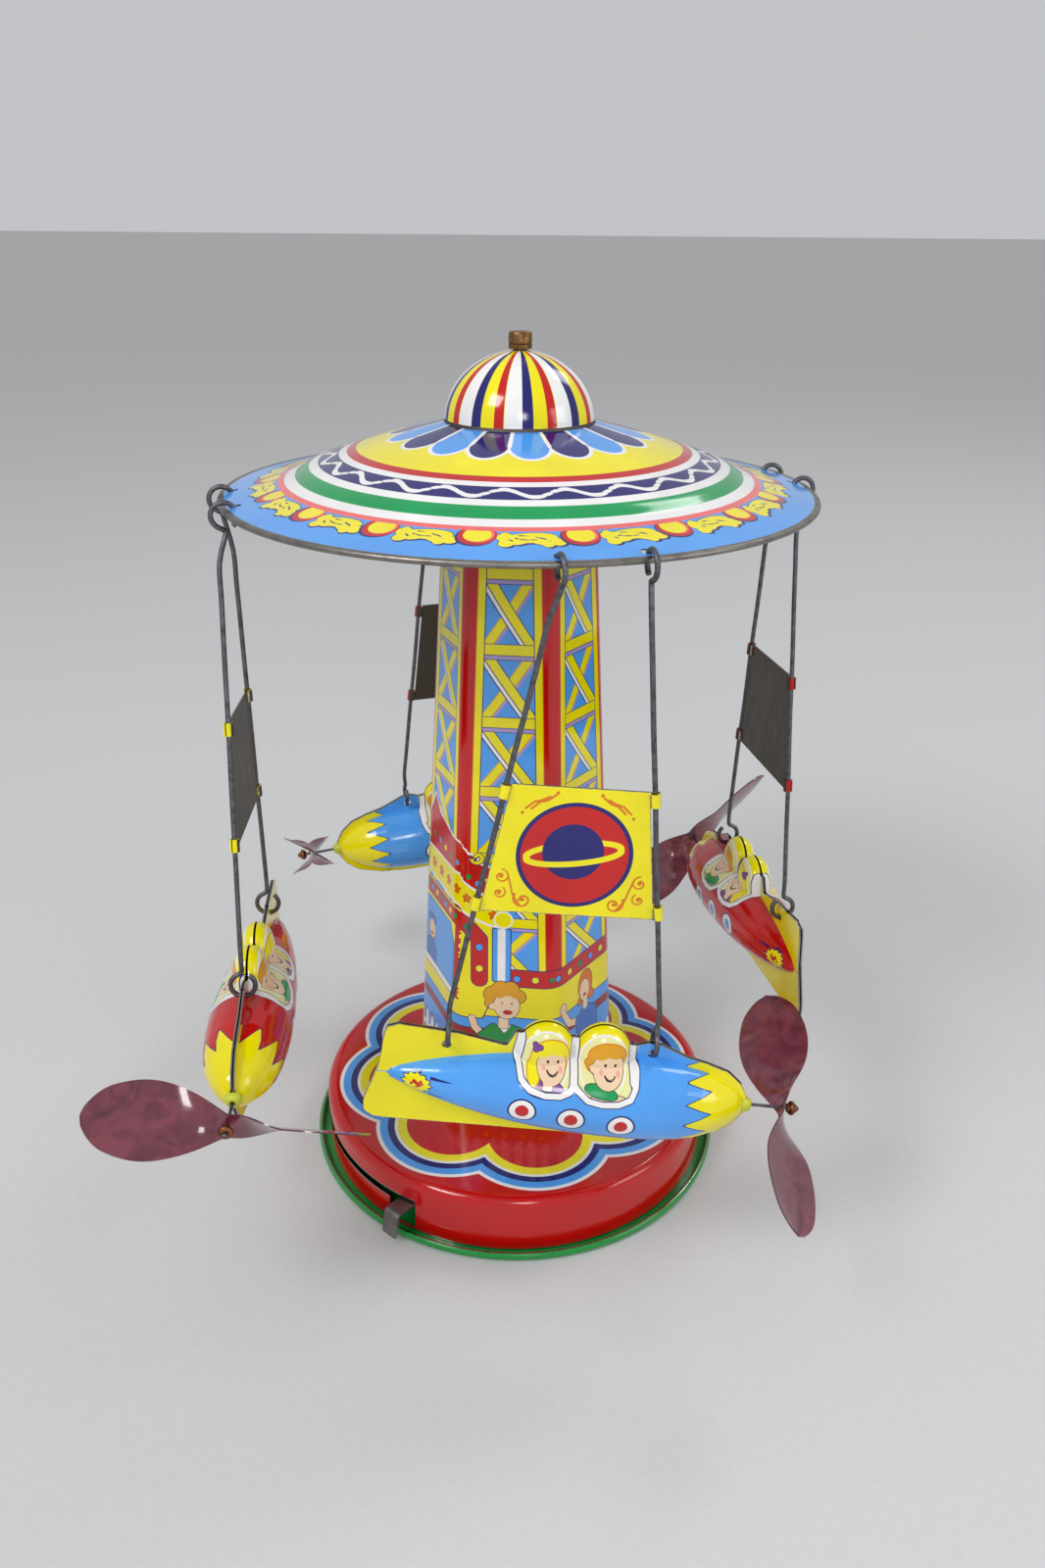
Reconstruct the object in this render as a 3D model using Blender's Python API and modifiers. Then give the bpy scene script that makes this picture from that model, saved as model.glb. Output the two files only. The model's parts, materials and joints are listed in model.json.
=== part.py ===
"""Lever-action rocket carousel of lithographed tin.

A round drum holds a lever, a toothed sector and a one-way drive. A six-sided tower stands on the drum,
and the main shaft runs up through it to a round canopy. Four rockets hang from the canopy's rim, each on
two wires with a square flag between them. Metres, +Z up, origin at the centre of the drum's underside.
"""

import math

import bmesh
import bpy
from mathutils import Matrix, Vector

MM = 0.001
GAP = 0.3                      # clearance between pieces that touch, in mm like every size below

# Drum and base plate
PLATE_R, PLATE_T, PLATE_RIM_H = 73.6, 0.6, 3.0
DRUM_R, DRUM_TOP_Z, DRUM_SHOULDER, DRUM_WALL = 69.3, 21.6, 3.2, 0.6
DRUM_FOOT_Z = PLATE_T + GAP
SLOT_Z, SLOT_H = 10.6, 2.6     # the lever's slot in the drum wall
SLOT_FROM, SLOT_TO = -28.0, -96.0
DOOR_AZ, DOOR_HALF_DEG, DOOR_TOP_Z = -33.0, 4.6, 11.9

# Tower
TOWER_FOOT_Z, TOWER_TOP_Z = DRUM_TOP_Z + GAP, 226.0
TOWER_FOOT_R, TOWER_TOP_R, TOWER_WALL = 36.9, 24.7, 0.6
TOWER_TURN = -6.6              # azimuth of the tower's front face
TOWER_CORNER = 0.16            # share of a side that each rounded corner takes

# Canopy
RIM_R, RIM_Z, BEAD_R = 87.65, 235.0, 0.85
DOME_R, DOME_FOOT_Z, CANOPY_TOP_Z, CANOPY_T = 22.0, 255.4, 275.0, 0.5
SHAFT_R, SHAFT_TOP_Z = 1.5, 277.6
COLLAR_R, COLLAR_FOOT_Z, COLLAR_TOP_Z = 3.4, 275.3, 280.0

# Lever and one-way drive
MID_AZ = -61.5                 # azimuth of the middle of the lever's stroke
PIVOT_A = 36.0                 # shaft axis to lever pin
LEVER_STROKE = 40.0
SECTOR_R, PINION_R, TEETH = 31.0, 5.0, 10
LEVER_Z, LEVER_T = 11.2, 1.0
TAB_REACH = 107.0              # lever pin to the middle of the bent tab

# Rockets and their wires
RING_AXIS_R, RING_AXIS_Z = 87.0, 233.8
WIRE_R, EYE_R = 0.75, 3.65
HOOK_HALF, EYE_HALF, WIRE_DROP = 11.4, 29.6, 136.5
FLAG_TOP, FLAG_FOOT = 58.0, 96.0
HUB_S, BLADE_R = 12.0, 39.0
SEAM, FLANGE_T = 0.15, 0.5
LUG_S, LUG_W, FIN_S, FIN_W, HOLE_R = -30.0, 15.0, -89.0, 11.5, 1.4
# Turns that lay a profile's axis along X, and that stand an outline drawn in X and Y up in X and Z
LAY = Matrix(((0, 0, 1, 0), (0, 1, 0, 0), (-1, 0, 0, 0), (0, 0, 0, 1)))
STAND = Matrix(((1, 0, 0, 0), (0, 0, -1, 0), (0, 1, 0, 0), (0, 0, 0, 1)))
# name, azimuth, yaw of the nose outward, lean in the plane of the wires, propeller angle, body colour
ROCKETS = (
    ("front", 14.0, 12.0, -4.5, 22.0, "blue"),
    ("right", 104.0, 5.0, -2.0, -43.0, "red"),
    ("back", 194.0, 1.0, -2.0, 30.0, "blue"),
    ("left", -76.0, 10.0, 6.0, -8.0, "red"),
)

COLOURS = {
    "red": ((0.62, 0.02, 0.02), 0.25, 0.0), "green": ((0.01, 0.32, 0.08), 0.25, 0.0),
    "yellow": ((0.85, 0.68, 0.02), 0.25, 0.0), "blue": ((0.12, 0.42, 0.78), 0.25, 0.0),
    "steel": ((0.45, 0.44, 0.44), 0.4, 1.0), "brass": ((0.42, 0.27, 0.12), 0.4, 1.0),
    "lime": ((0.62, 0.68, 0.08), 0.3, 0.0), "celluloid": ((0.45, 0.12, 0.18), 0.15, 0.0),
}


def clear_scene():
    for obj in list(bpy.data.objects):
        bpy.data.objects.remove(obj)


def collection(name):
    made = bpy.data.collections.new(name)
    bpy.context.scene.collection.children.link(made)
    return made


def material(name):
    found = bpy.data.materials.get(name)
    if found:
        return found
    colour, roughness, metallic = COLOURS[name]
    made = bpy.data.materials.new(name)
    made.use_nodes = True
    shader = made.node_tree.nodes["Principled BSDF"]
    shader.inputs["Base Color"].default_value = (*colour, 1.0)
    shader.inputs["Roughness"].default_value = roughness
    shader.inputs["Metallic"].default_value = metallic
    if name == "celluloid":
        shader.inputs["Alpha"].default_value = 0.5
    return made


def polar(radius, azimuth, z=0.0):
    """A point in mm at an azimuth counted from -Y towards +X."""
    a = math.radians(azimuth)
    return Vector((radius * math.sin(a), -radius * math.cos(a), z))


def add_object(name, data, home, colour, frame=None):
    obj = bpy.data.objects.new(name, data)
    home.objects.link(obj)
    if colour:
        data.materials.append(material(colour))
    else:
        obj.hide_render = True
        obj.display_type = "WIRE"
    if frame is not None:
        obj.matrix_world = frame
    return obj


def from_bmesh(name, bm, home, colour, frame=None, smooth=35.0):
    bmesh.ops.scale(bm, vec=(MM, MM, MM), verts=bm.verts)
    mesh = bpy.data.meshes.new(name)
    bm.to_mesh(mesh)
    bm.free()
    mesh.shade_smooth()
    mesh.set_sharp_from_angle(angle=math.radians(smooth))
    return add_object(name, mesh, home, colour, frame)


def outward(bm):
    bmesh.ops.remove_doubles(bm, verts=bm.verts, dist=1e-5)
    bmesh.ops.recalc_face_normals(bm, faces=bm.faces)
    if bm.calc_volume(signed=True) < 0:
        bmesh.ops.reverse_faces(bm, faces=bm.faces)


def turned(name, profile, home, colour, frame=None, steps=48, closed=True):
    """A solid of revolution about Z from (radius, z) points in mm; a closed loop is joined end to start."""
    bm = bmesh.new()
    points = [bm.verts.new((r, 0.0, z)) for r, z in profile]
    edges = [bm.edges.new(pair) for pair in zip(points, points[1:])]
    if closed:
        edges.append(bm.edges.new((points[-1], points[0])))
    bmesh.ops.spin(bm, geom=points + edges, cent=(0, 0, 0), axis=(0, 0, 1),
                   angle=math.tau, steps=steps, use_merge=True)
    outward(bm)
    return from_bmesh(name, bm, home, colour, frame)


def prism(name, outline, low, high, home, colour, frame=None, smooth=35.0):
    """An outline of (x, y) points in mm drawn out from z low to z high."""
    bm = bmesh.new()
    face = bm.faces.new([bm.verts.new((x, y, low)) for x, y in outline])
    rim = bmesh.ops.extrude_face_region(bm, geom=[face])["geom"]
    raised = [v for v in rim if isinstance(v, bmesh.types.BMVert)]
    bmesh.ops.translate(bm, vec=(0, 0, high - low), verts=raised)
    outward(bm)
    return from_bmesh(name, bm, home, colour, frame, smooth)


def box(name, low, high, home, colour, frame=None):
    outline = ((low[0], low[1]), (high[0], low[1]), (high[0], high[1]), (low[0], high[1]))
    return prism(name, outline, low[2], high[2], home, colour, frame)


def loft(name, rings, home, colour, frame=None, smooth=35.0):
    """A solid through rings of points in mm, closed at both ends."""
    bm = bmesh.new()
    rows = [[bm.verts.new(p) for p in ring] for ring in rings]
    for a, b in zip(rows, rows[1:]):
        for i in range(len(a)):
            j = (i + 1) % len(a)
            bm.faces.new((a[i], a[j], b[j], b[i]))
    bm.faces.new(rows[0])
    bm.faces.new(rows[-1])
    outward(bm)
    return from_bmesh(name, bm, home, colour, frame, smooth)


def wire(name, points, radius, home, colour, frame=None):
    """A bent wire through points in mm."""
    curve = bpy.data.curves.new(name, "CURVE")
    curve.dimensions = "3D"
    curve.bevel_depth = radius * MM
    curve.bevel_resolution = 1
    curve.use_fill_caps = True
    line = curve.splines.new("POLY")
    line.points.add(len(points) - 1)
    for spot, point in zip(line.points, points):
        spot.co = (*(Vector(point) * MM), 1.0)
    return add_object(name, curve, home, colour, frame)


def cut(obj, cutter, operation="DIFFERENCE"):
    modifier = obj.modifiers.new(cutter.name, "BOOLEAN")
    modifier.object = cutter
    modifier.operation = operation
    modifier.solver = "EXACT"


def baked(obj):
    """The object's mesh with its modifiers applied; the object itself is removed."""
    bpy.context.view_layer.update()
    graph = bpy.context.evaluated_depsgraph_get()
    mesh = bpy.data.meshes.new_from_object(obj.evaluated_get(graph))
    mesh.transform(obj.matrix_world)
    mesh.materials.clear()
    bpy.data.objects.remove(obj)
    return mesh


def arc(cx, cy, radius, start, end, count):
    """Points along an arc, angles in degrees counted from +X."""
    angles = [math.radians(start + (end - start) * i / count) for i in range(count + 1)]
    return [(cx + radius * math.cos(a), cy + radius * math.sin(a)) for a in angles]


# ---------------------------------------------------------------- stand


def build_base_plate(home):
    """Bottom plate with an upstanding rim whose top edge is rolled outward."""
    inner = PLATE_R - 1.7
    profile = [(0, 0), (PLATE_R - 1.2, 0)]
    profile += arc(PLATE_R - 1.2, 1.2, 1.2, -90, 0, 2)[1:]
    profile += arc(PLATE_R - 0.85, PLATE_RIM_H - 0.85, 0.85, 0, 180, 4)
    profile += [(inner, PLATE_T), (0, PLATE_T)]
    return turned("base_plate", profile, home, "green", closed=False, steps=44)


def drum_profile():
    outer, rad = DRUM_R, DRUM_SHOULDER
    over = arc(outer - rad, DRUM_TOP_Z - rad, rad, 0, 90, 3)
    under = arc(outer - rad, DRUM_TOP_Z - rad, rad - DRUM_WALL, 90, 0, 3)
    return ([(outer, DRUM_FOOT_Z)] + over + [(6.0, DRUM_TOP_Z), (6.0, DRUM_TOP_Z - DRUM_WALL)] + under
            + [(outer - DRUM_WALL, DRUM_FOOT_Z)])


def sector_cutter(name, azimuth_from, azimuth_to, low, high, cutters, inner=60.0, outer=80.0):
    steps = max(3, int(abs(azimuth_to - azimuth_from) / 5))
    angles = [azimuth_from + (azimuth_to - azimuth_from) * i / steps for i in range(steps + 1)]
    far = [polar(outer, angle)[:2] for angle in angles]
    near = [polar(inner, angle)[:2] for angle in reversed(angles)]
    return prism(name, far + near, low, high, cutters, None)


def build_drum(home, cutters):
    drum = turned("base_drum", drum_profile(), home, "red", steps=44)
    cut(drum, sector_cutter("lever_slot", SLOT_FROM, SLOT_TO, SLOT_Z, SLOT_Z + SLOT_H, cutters))
    door = (DOOR_AZ - DOOR_HALF_DEG, DOOR_AZ + DOOR_HALF_DEG, 1.6, DOOR_TOP_Z)
    cut(drum, sector_cutter("lever_door", *door, cutters))
    return drum


def hexagon(radius, z, corner=TOWER_CORNER, per_corner=3):
    """A six-sided ring with rounded corners, face 0 looking to the tower's front."""
    points = []
    for side in range(6):
        before, here, after = (polar(radius, TOWER_TURN + 30 + 60 * (side + k), z) for k in (-1, 0, 1))
        start = here.lerp(before, corner)
        end = here.lerp(after, corner)
        for i in range(per_corner + 1):
            t = i / per_corner
            points.append(start.lerp(here, t).lerp(here.lerp(end, t), t))
    return points


def build_tower(home, cutters):
    tower = loft("tower_tube", [hexagon(TOWER_FOOT_R, TOWER_FOOT_Z), hexagon(TOWER_TOP_R, TOWER_TOP_Z)],
                 home, "yellow", smooth=15.0)
    wall = TOWER_WALL / math.cos(math.radians(30))
    slope = (TOWER_TOP_R - TOWER_FOOT_R) / (TOWER_TOP_Z - TOWER_FOOT_Z)
    bore = loft("tower_bore", [hexagon(TOWER_FOOT_R - wall - slope, TOWER_FOOT_Z - 1),
                               hexagon(TOWER_TOP_R - wall + slope, TOWER_TOP_Z + 1)], cutters, None)
    cut(tower, bore)
    return tower


def build_top_bearing(home, cutters):
    """Six-sided plate let into the tower's mouth, with the shaft's bearing hole."""
    z = TOWER_TOP_Z - 3.0
    radius = TOWER_TOP_R - TOWER_WALL / math.cos(math.radians(30)) - 0.7
    plate = loft("tower_top_plate", [hexagon(radius, z - 0.8), hexagon(radius, z)], home, "steel")
    bore = [(0, z - 2), (1.8, z - 2), (1.8, z + 1), (0, z + 1)]
    cut(plate, turned("plate_bore", bore, cutters, None, steps=20, closed=False))
    section = [(1.8, z + 0.3), (4.2, z + 0.3), (4.2, z + 1.5), (3.0, z + 2.4), (1.8, z + 2.4)]
    bush = turned("top_bearing_bush", section, home, "brass", steps=24)
    return plate, bush


def build_bearings(home, cutters):
    cup = [(0, 0.9), (8.0, 0.9), (8.0, 1.7), (4.0, 2.0), (4.0, 5.0), (1.8, 5.0), (1.8, 2.2), (0, 2.2)]
    foot = turned("foot_bearing", cup, home, "steel", steps=24, closed=False)
    z0, z1, half = 17.6, 18.4, 7.0
    reach, foot_len = 45.0, 7.0
    side = [(-reach - foot_len, 0.9), (-reach - foot_len, 1.7), (-reach - 0.8, 1.7), (-reach - 0.8, z1),
            (reach + 0.8, z1), (reach + 0.8, 1.7), (reach + foot_len, 1.7), (reach + foot_len, 0.9),
            (reach, 0.9), (reach, z0), (-reach, z0), (-reach, 0.9)]
    along = MID_AZ + 90.0
    x = polar(1, along)
    y = Vector((0, 0, 1))
    frame = Matrix((x, y, x.cross(y))).transposed().to_4x4()
    bridge = prism("bearing_bridge", side, -half, half, home, "steel", frame)
    bore = [(0, 16), (1.8, 16), (1.8, 20), (0, 20)]
    cut(bridge, turned("bridge_bore", bore, cutters, None, steps=20, closed=False))
    return foot, bridge


def build_lever_pin(home):
    spot = polar(PIVOT_A, MID_AZ + 180)
    seat = LEVER_Z - GAP
    section = [(0, 0.9), (4.0, 0.9), (4.0, 1.7), (2.6, 1.7), (2.6, seat), (1.6, seat), (1.6, 14.2)]
    section += [(3.2, 14.2), (3.2, 15.0), (0, 15.0)]
    place = Matrix.Translation(spot * MM)
    return turned("lever_pin", section, home, "steel", place, steps=14, closed=False)


def lever_frame():
    """The lever's own frame at rest: X from the pin to the tab, Z up."""
    spot = polar(PIVOT_A, MID_AZ + 180)
    along = math.radians(MID_AZ - 90.0 + LEVER_STROKE / 2)
    return Matrix.Translation(spot * MM) @ Matrix.Rotation(along, 4, "Z")


def sector_teeth():
    """Outline of the toothed edge of the lever's window, counted from the lever pin."""
    pitch = 360 / TEETH * PINION_R / SECTOR_R
    points = []
    for i in range(10):
        mid = -LEVER_STROKE / 2 + (i - 1) * pitch
        for radius, off in ((SECTOR_R - 1.25, -0.36), (SECTOR_R - 0.5, -0.27), (SECTOR_R + 0.3, -0.17),
                            (SECTOR_R + 0.85, -0.09), (SECTOR_R + 0.85, 0.09), (SECTOR_R + 0.3, 0.17),
                            (SECTOR_R - 0.5, 0.27), (SECTOR_R - 1.25, 0.36)):
            a = math.radians(mid + off * pitch)
            points.append((radius * math.cos(a), radius * math.sin(a)))
    return points


def build_lever(home, cutters):
    """Flat arm round the shaft with an inner toothed edge, and a tab bent down outside the drum."""
    frame = lever_frame()
    outline = arc(0, 0, 6.0, 110, 250, 8) + arc(0, 0, 48.5, -37, -9, 5)
    outline += [(60, -5.0), (70, -3.2), (TAB_REACH, -3.0), (TAB_REACH, 3.0), (70, 3.2), (60, 5.0)]
    outline += arc(0, 0, 48.5, 9, 37, 5)
    lever = prism("lever", outline, LEVER_Z, LEVER_Z + LEVER_T, home, "steel", frame)
    window = arc(0, 0, 43.5, 33, -33, 10) + sector_teeth()
    cut(lever, prism("lever_window", window, LEVER_Z - 1, LEVER_Z + LEVER_T + 1, cutters, None, frame))
    bore = [(0, LEVER_Z - 1), (1.95, LEVER_Z - 1), (1.95, LEVER_Z + 3), (0, LEVER_Z + 3)]
    cut(lever, turned("lever_bore", bore, cutters, None, frame, steps=20, closed=False))
    end, top = TAB_REACH, LEVER_Z + LEVER_T
    tab = [(end - 0.5, LEVER_Z + 0.5), (end - 0.5, top), (end + 1.2, top), (end + 2.2, LEVER_Z + 0.2)]
    tab += [(end + 3.7, 3.6), (end + 2.7, 3.6), (end + 1.0, LEVER_Z)]
    cut(lever, prism("lever_tab", tab, -3.0, 3.0, cutters, None, frame @ STAND), "UNION")
    return lever


def build_return_spring(home):
    """Torsion spring coiled round the lever pin: one leg on the bridge side, one against the lever."""
    radius, wire_r, turns, low = 4.0, 0.4, 3.5, 3.0
    pitch = 1.1
    points = [(radius + 9.0, -4.0, low), (radius + 0.2, -1.2, low)]
    steps = int(turns * 9)
    for i in range(steps + 1):
        a = math.tau * i / 9
        points.append((radius * math.cos(a), radius * math.sin(a), low + pitch * i / 9 + 0.1))
    top = low + pitch * turns + 0.1
    points += [(-radius - 0.3, 1.6, top), (-radius - 1.0, 6.0, LEVER_Z - 0.8)]
    return wire("return_spring", points, wire_r, home, "steel", lever_frame())


def build_spring_post(home):
    spot = lever_frame() @ (Vector((13.8, -6.9, 0)) * MM)
    section = [(0, 0.9), (2.4, 0.9), (2.4, 1.7), (1.2, 1.7), (1.2, 6.0), (0, 6.0)]
    place = Matrix.Translation((spot.x, spot.y, 0))
    return turned("spring_post", section, home, "steel", place, steps=16, closed=False)


# ---------------------------------------------------------------- one-way drive and carousel


def build_pinion(home, cutters):
    """Ten-tooth pinion that runs free on the shaft, with a flange that carries the pawl."""
    aim = MID_AZ - 90.0 + 180.0
    outline = []
    for i in range(TEETH):
        mid = aim + (i + 0.5) * 360 / TEETH
        step = 360 / TEETH
        for radius, off in ((PINION_R - 1.25, -0.33), (PINION_R - 0.45, -0.27), (PINION_R + 0.3, -0.16),
                            (PINION_R + 0.85, -0.07), (PINION_R + 0.85, 0.07), (PINION_R + 0.3, 0.16),
                            (PINION_R - 0.45, 0.27), (PINION_R - 1.25, 0.33)):
            a = math.radians(mid + off * step)
            outline.append((radius * math.cos(a), radius * math.sin(a)))
    pinion = prism("drive_pinion", outline, LEVER_Z - 0.9, 13.0, home, "brass")
    flange = [(0, 12.6), (8.6, 12.6), (8.6, 13.4), (0, 13.4)]
    cut(pinion, turned("pinion_flange", flange, cutters, None, steps=32, closed=False), "UNION")
    bore = [(0, 9), (1.8, 9), (1.8, 15), (0, 15)]
    cut(pinion, turned("pinion_bore", bore, cutters, None, steps=20, closed=False))
    return pinion


def build_pawl(home):
    """Spring click riveted to the pinion's flange, its nose just clear of the ratchet's teeth."""
    outline = [(-8.0, -2.4), (-6.6, -2.8), (-2.8, -7.2), (2.0, -7.6)]
    outline += [(2.0, -6.9), (-2.2, -6.5), (-5.8, -1.9), (-7.6, -1.2)]
    return prism("pawl", outline, 13.7, 14.5, home, "steel")


def build_ratchet(home, cutters):
    outline = []
    teeth = 12
    for i in range(teeth):
        a0 = math.tau * i / teeth
        a1 = math.tau * (i + 0.92) / teeth
        outline += [(4.2 * math.cos(a0), 4.2 * math.sin(a0)), (5.4 * math.cos(a1), 5.4 * math.sin(a1))]
    wheel = prism("ratchet_wheel", outline, 13.7, 15.0, home, "brass")
    bore = [(0, 12), (1.8, 12), (1.8, 17), (0, 17)]
    cut(wheel, turned("ratchet_bore", bore, cutters, None, steps=20, closed=False))
    return wheel


def build_shaft(home):
    profile = [(0, 2.5), (0.9, 2.5), (SHAFT_R, 3.3), (SHAFT_R, SHAFT_TOP_Z), (0, SHAFT_TOP_Z)]
    return turned("main_shaft", profile, home, "steel", steps=16, closed=False)


def canopy_outline():
    """The canopy's outer surface as (radius, z) from the collar out to the rim."""
    rise = CANOPY_TOP_Z - DOME_FOOT_Z
    dome = [(DOME_R * math.cos(math.radians(a)), DOME_FOOT_Z + rise * math.sin(math.radians(a)))
            for a in (84, 64, 47, 31, 15, 0)]
    brim = [(42, 249.9), (61, 243.7), (67, 240.5), (76, 237.9), (RIM_R - 0.9, RIM_Z + 0.75)]
    return dome + brim


def build_canopy(home, cutters):
    """One pressing: dome, brim and a rim rolled into a bead, with eight hook holes."""
    over = canopy_outline()
    bead = arc(RIM_R, RIM_Z, BEAD_R, 60, -160, 4)
    under = [(max(r - (0.3 if r <= DOME_R else 0.1), 1.9), z - CANOPY_T) for r, z in reversed(over)]
    under = [(r - 0.35, z) if z > DOME_FOOT_Z and r > 5 else (r, z) for r, z in under]
    section = [(1.9, CANOPY_TOP_Z)] + over + bead + under + [(1.9, CANOPY_TOP_Z - CANOPY_T)]
    canopy = turned("canopy", section, home, "blue", steps=48)
    holes = bmesh.new()
    for name, azimuth, _, _, _, _ in ROCKETS:
        for side in (-1, 1):
            spot = hook_centre(azimuth, side)
            away = spot.xy.normalized()
            centre = Vector((*(away * (RING_AXIS_R - 2.8)), RING_AXIS_Z + 2.3))
            turn = Matrix.Rotation(math.atan2(away.y, away.x), 4, "Z")
            turn = turn @ Matrix.Rotation(math.radians(40), 4, "Y") @ Matrix.Diagonal((1.15, 1, 1, 1))
            bmesh.ops.create_cone(holes, cap_ends=True, segments=12, radius1=HOLE_R, radius2=HOLE_R,
                                  depth=3.0, matrix=Matrix.Translation(centre) @ turn)
    cut(canopy, from_bmesh("hook_holes", holes, cutters, None))
    return canopy


def build_canopy_hub(home):
    """Turned boss under the dome that grips the shaft and carries the canopy."""
    z = DOME_FOOT_Z + 5
    profile = [(1.8, z), (4.0, z), (4.0, 264), (8.6, 270.6), (7.8, 271.6), (4.6, 273.0), (1.8, 273.0)]
    return turned("canopy_hub", profile, home, "steel", steps=16)


def build_collar(home):
    z0, z1, r = COLLAR_FOOT_Z, COLLAR_TOP_Z, COLLAR_R
    blind = SHAFT_TOP_Z + GAP
    profile = [(0, blind), (1.8, blind), (1.8, z0), (r, z0), (r, z1 - 0.4), (r - 0.4, z1), (0, z1)]
    return turned("top_collar", profile, home, "brass", steps=16, closed=False)


# ---------------------------------------------------------------- rockets


def hook_centre(azimuth, side):
    """Centre in mm of a hook's ring: both rings of a rocket share one level axis along the rim."""
    radial = polar(1, azimuth)
    along = Vector((-radial.y, radial.x, 0))
    return radial * RING_AXIS_R + along * (side * HOOK_HALF) + Vector((0, 0, RING_AXIS_Z))


def hang_frame(azimuth, yaw=0.0, lean=0.0):
    """X forward along the rim, Y inward, Z up, with its origin midway between the two hook rings."""
    radial = polar(1, azimuth)
    along = Vector((-radial.y, radial.x, 0))
    spot = radial * RING_AXIS_R + Vector((0, 0, RING_AXIS_Z))
    base = Matrix((along, -radial, Vector((0, 0, 1)))).transposed().to_4x4()
    turn = Matrix.Rotation(math.radians(-yaw), 4, "Z") @ Matrix.Rotation(math.radians(-lean), 4, "Y")
    return Matrix.Translation(spot * MM) @ base @ turn


def eye_loop(x, z, up):
    """Points of a wire eye in the plane across the hinge axis, from its free end to its stem."""
    sign = 1 if up else -1
    angles = [math.radians(a) for a in range(-52, 252, 33)]
    points = [Vector((x, EYE_R * math.cos(a), z + sign * EYE_R * math.sin(a))) for a in angles]
    points.append(Vector((x, -0.35, z - sign * (EYE_R + 0.35))))
    return points + [Vector((x, 0.0, z - sign * (EYE_R + 1.5)))]


def build_hanger_wire(name, azimuth, yaw, lean, side, home):
    """One hanging wire with an eye at each end and a dogleg below the upper eye."""
    still = hang_frame(azimuth)
    bent = hang_frame(azimuth, yaw, lean)
    to_bent = bent.inverted() @ still
    x0, x1 = side * HOOK_HALF, side * EYE_HALF
    upper = [to_bent @ (p * MM) / MM for p in eye_loop(x0, 0.0, True)]
    lower = eye_loop(x1, -WIRE_DROP, False)
    top, foot = Vector((x0 + side * 1.2, 0, -14.0)), Vector((x1, 0, -WIRE_DROP + EYE_R + 6.0))
    points = upper + [top, top.lerp(foot, 0.5), foot] + lower[::-1]
    return wire(name, points, WIRE_R, home, "steel", bent)


def wire_x(depth, side):
    """Where a wire lies at a depth below the hooks, in the plane of the wires."""
    top, foot = (HOOK_HALF + 1.2, 14.0), (EYE_HALF, WIRE_DROP - EYE_R - 6.0)
    share = (depth - top[1]) / (foot[1] - top[1])
    return side * (top[0] + share * (foot[0] - top[0]))


def build_flag(name, azimuth, yaw, lean, home, cutters, colour):
    """Sheet flag between the wires, its four corners rolled round them."""
    frame = hang_frame(azimuth, yaw, lean)
    inset = WIRE_R + 0.5
    outline = [(wire_x(FLAG_TOP, -1) + inset, -FLAG_TOP), (wire_x(FLAG_TOP, 1) - inset, -FLAG_TOP),
               (wire_x(FLAG_FOOT, 1) - inset, -FLAG_FOOT), (wire_x(FLAG_FOOT, -1) + inset, -FLAG_FOOT)]
    flag = prism(name, outline, -0.2, 0.2, home, colour, frame @ STAND)
    for side in (-1, 1):
        for depth in (FLAG_TOP + 2.2, FLAG_FOOT - 2.2):
            x = wire_x(depth, side)
            tilt = math.atan2(wire_x(FLAG_FOOT, side) - wire_x(FLAG_TOP, side), FLAG_FOOT - FLAG_TOP)
            place = frame @ Matrix.Translation((x * MM, 0, -depth * MM)) @ Matrix.Rotation(-tilt, 4, "Y")
            tag = f"{name}_tab_{side}_{int(depth)}"
            near, far = WIRE_R + 0.3, WIRE_R + 0.8
            section = [(near, -1.9), (far, -1.9), (far, 1.9), (near, 1.9)]
            ring = turned(tag, section, cutters, None, place, steps=8)
            cut(flag, ring, "UNION")
    return flag


def rocket_frame(azimuth, yaw, lean):
    """The rocket's own frame: origin at the nose bush, X forward, Z up, hung by its two holes."""
    ring_front = Vector((LUG_S, LUG_W + EYE_R))
    ring_rear = Vector((FIN_S, FIN_W + EYE_R))
    line = ring_front - ring_rear
    tilt = math.atan2(line.y, line.x)
    mid = (ring_front + ring_rear) / 2
    hang = hang_frame(azimuth, yaw, lean)
    return (hang @ Matrix.Translation((0, 0, -WIRE_DROP * MM)) @ Matrix.Rotation(tilt, 4, "Y")
            @ Matrix.Translation((-mid.x * MM, 0, -mid.y * MM)))


BODY = ((-1.5, 3.4), (-5, 6.5), (-11, 9.6), (-20, 11.9), (-34, 12.9), (-52, 12.5), (-68, 11.0),
        (-84, 8.1), (-96, 4.8), (-104, 1.4))
FIN_OUTLINE = ((0.6, -2.7), (0.6, 2.7), (-2.0, 7.2), (-6.5, 11.0), (-13.0, 13.2), (-19.0, 14.6),
               (-24.0, 16.6), (-28.0, 18.3), (-31.5, 18.6), (-35.0, 17.4), (-53.0, 18.2), (-70.0, 18.0),
               (-72.0, 13.0), (-86.0, 15.6), (-103.0, 16.8), (-106.3, 15.4), (-107.0, 12.0),
               (-107.3, 3.0), (-110.6, -10.5), (-110.4, -14.2), (-107.6, -16.3), (-104.0, -16.5),
               (-60.0, -15.9), (-26.0, -15.2), (-15.5, -13.9), (-6.5, -11.0), (-2.0, -7.2))
HOODS = ((-44.5, 13.4), (-61.0, 12.6))


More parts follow.
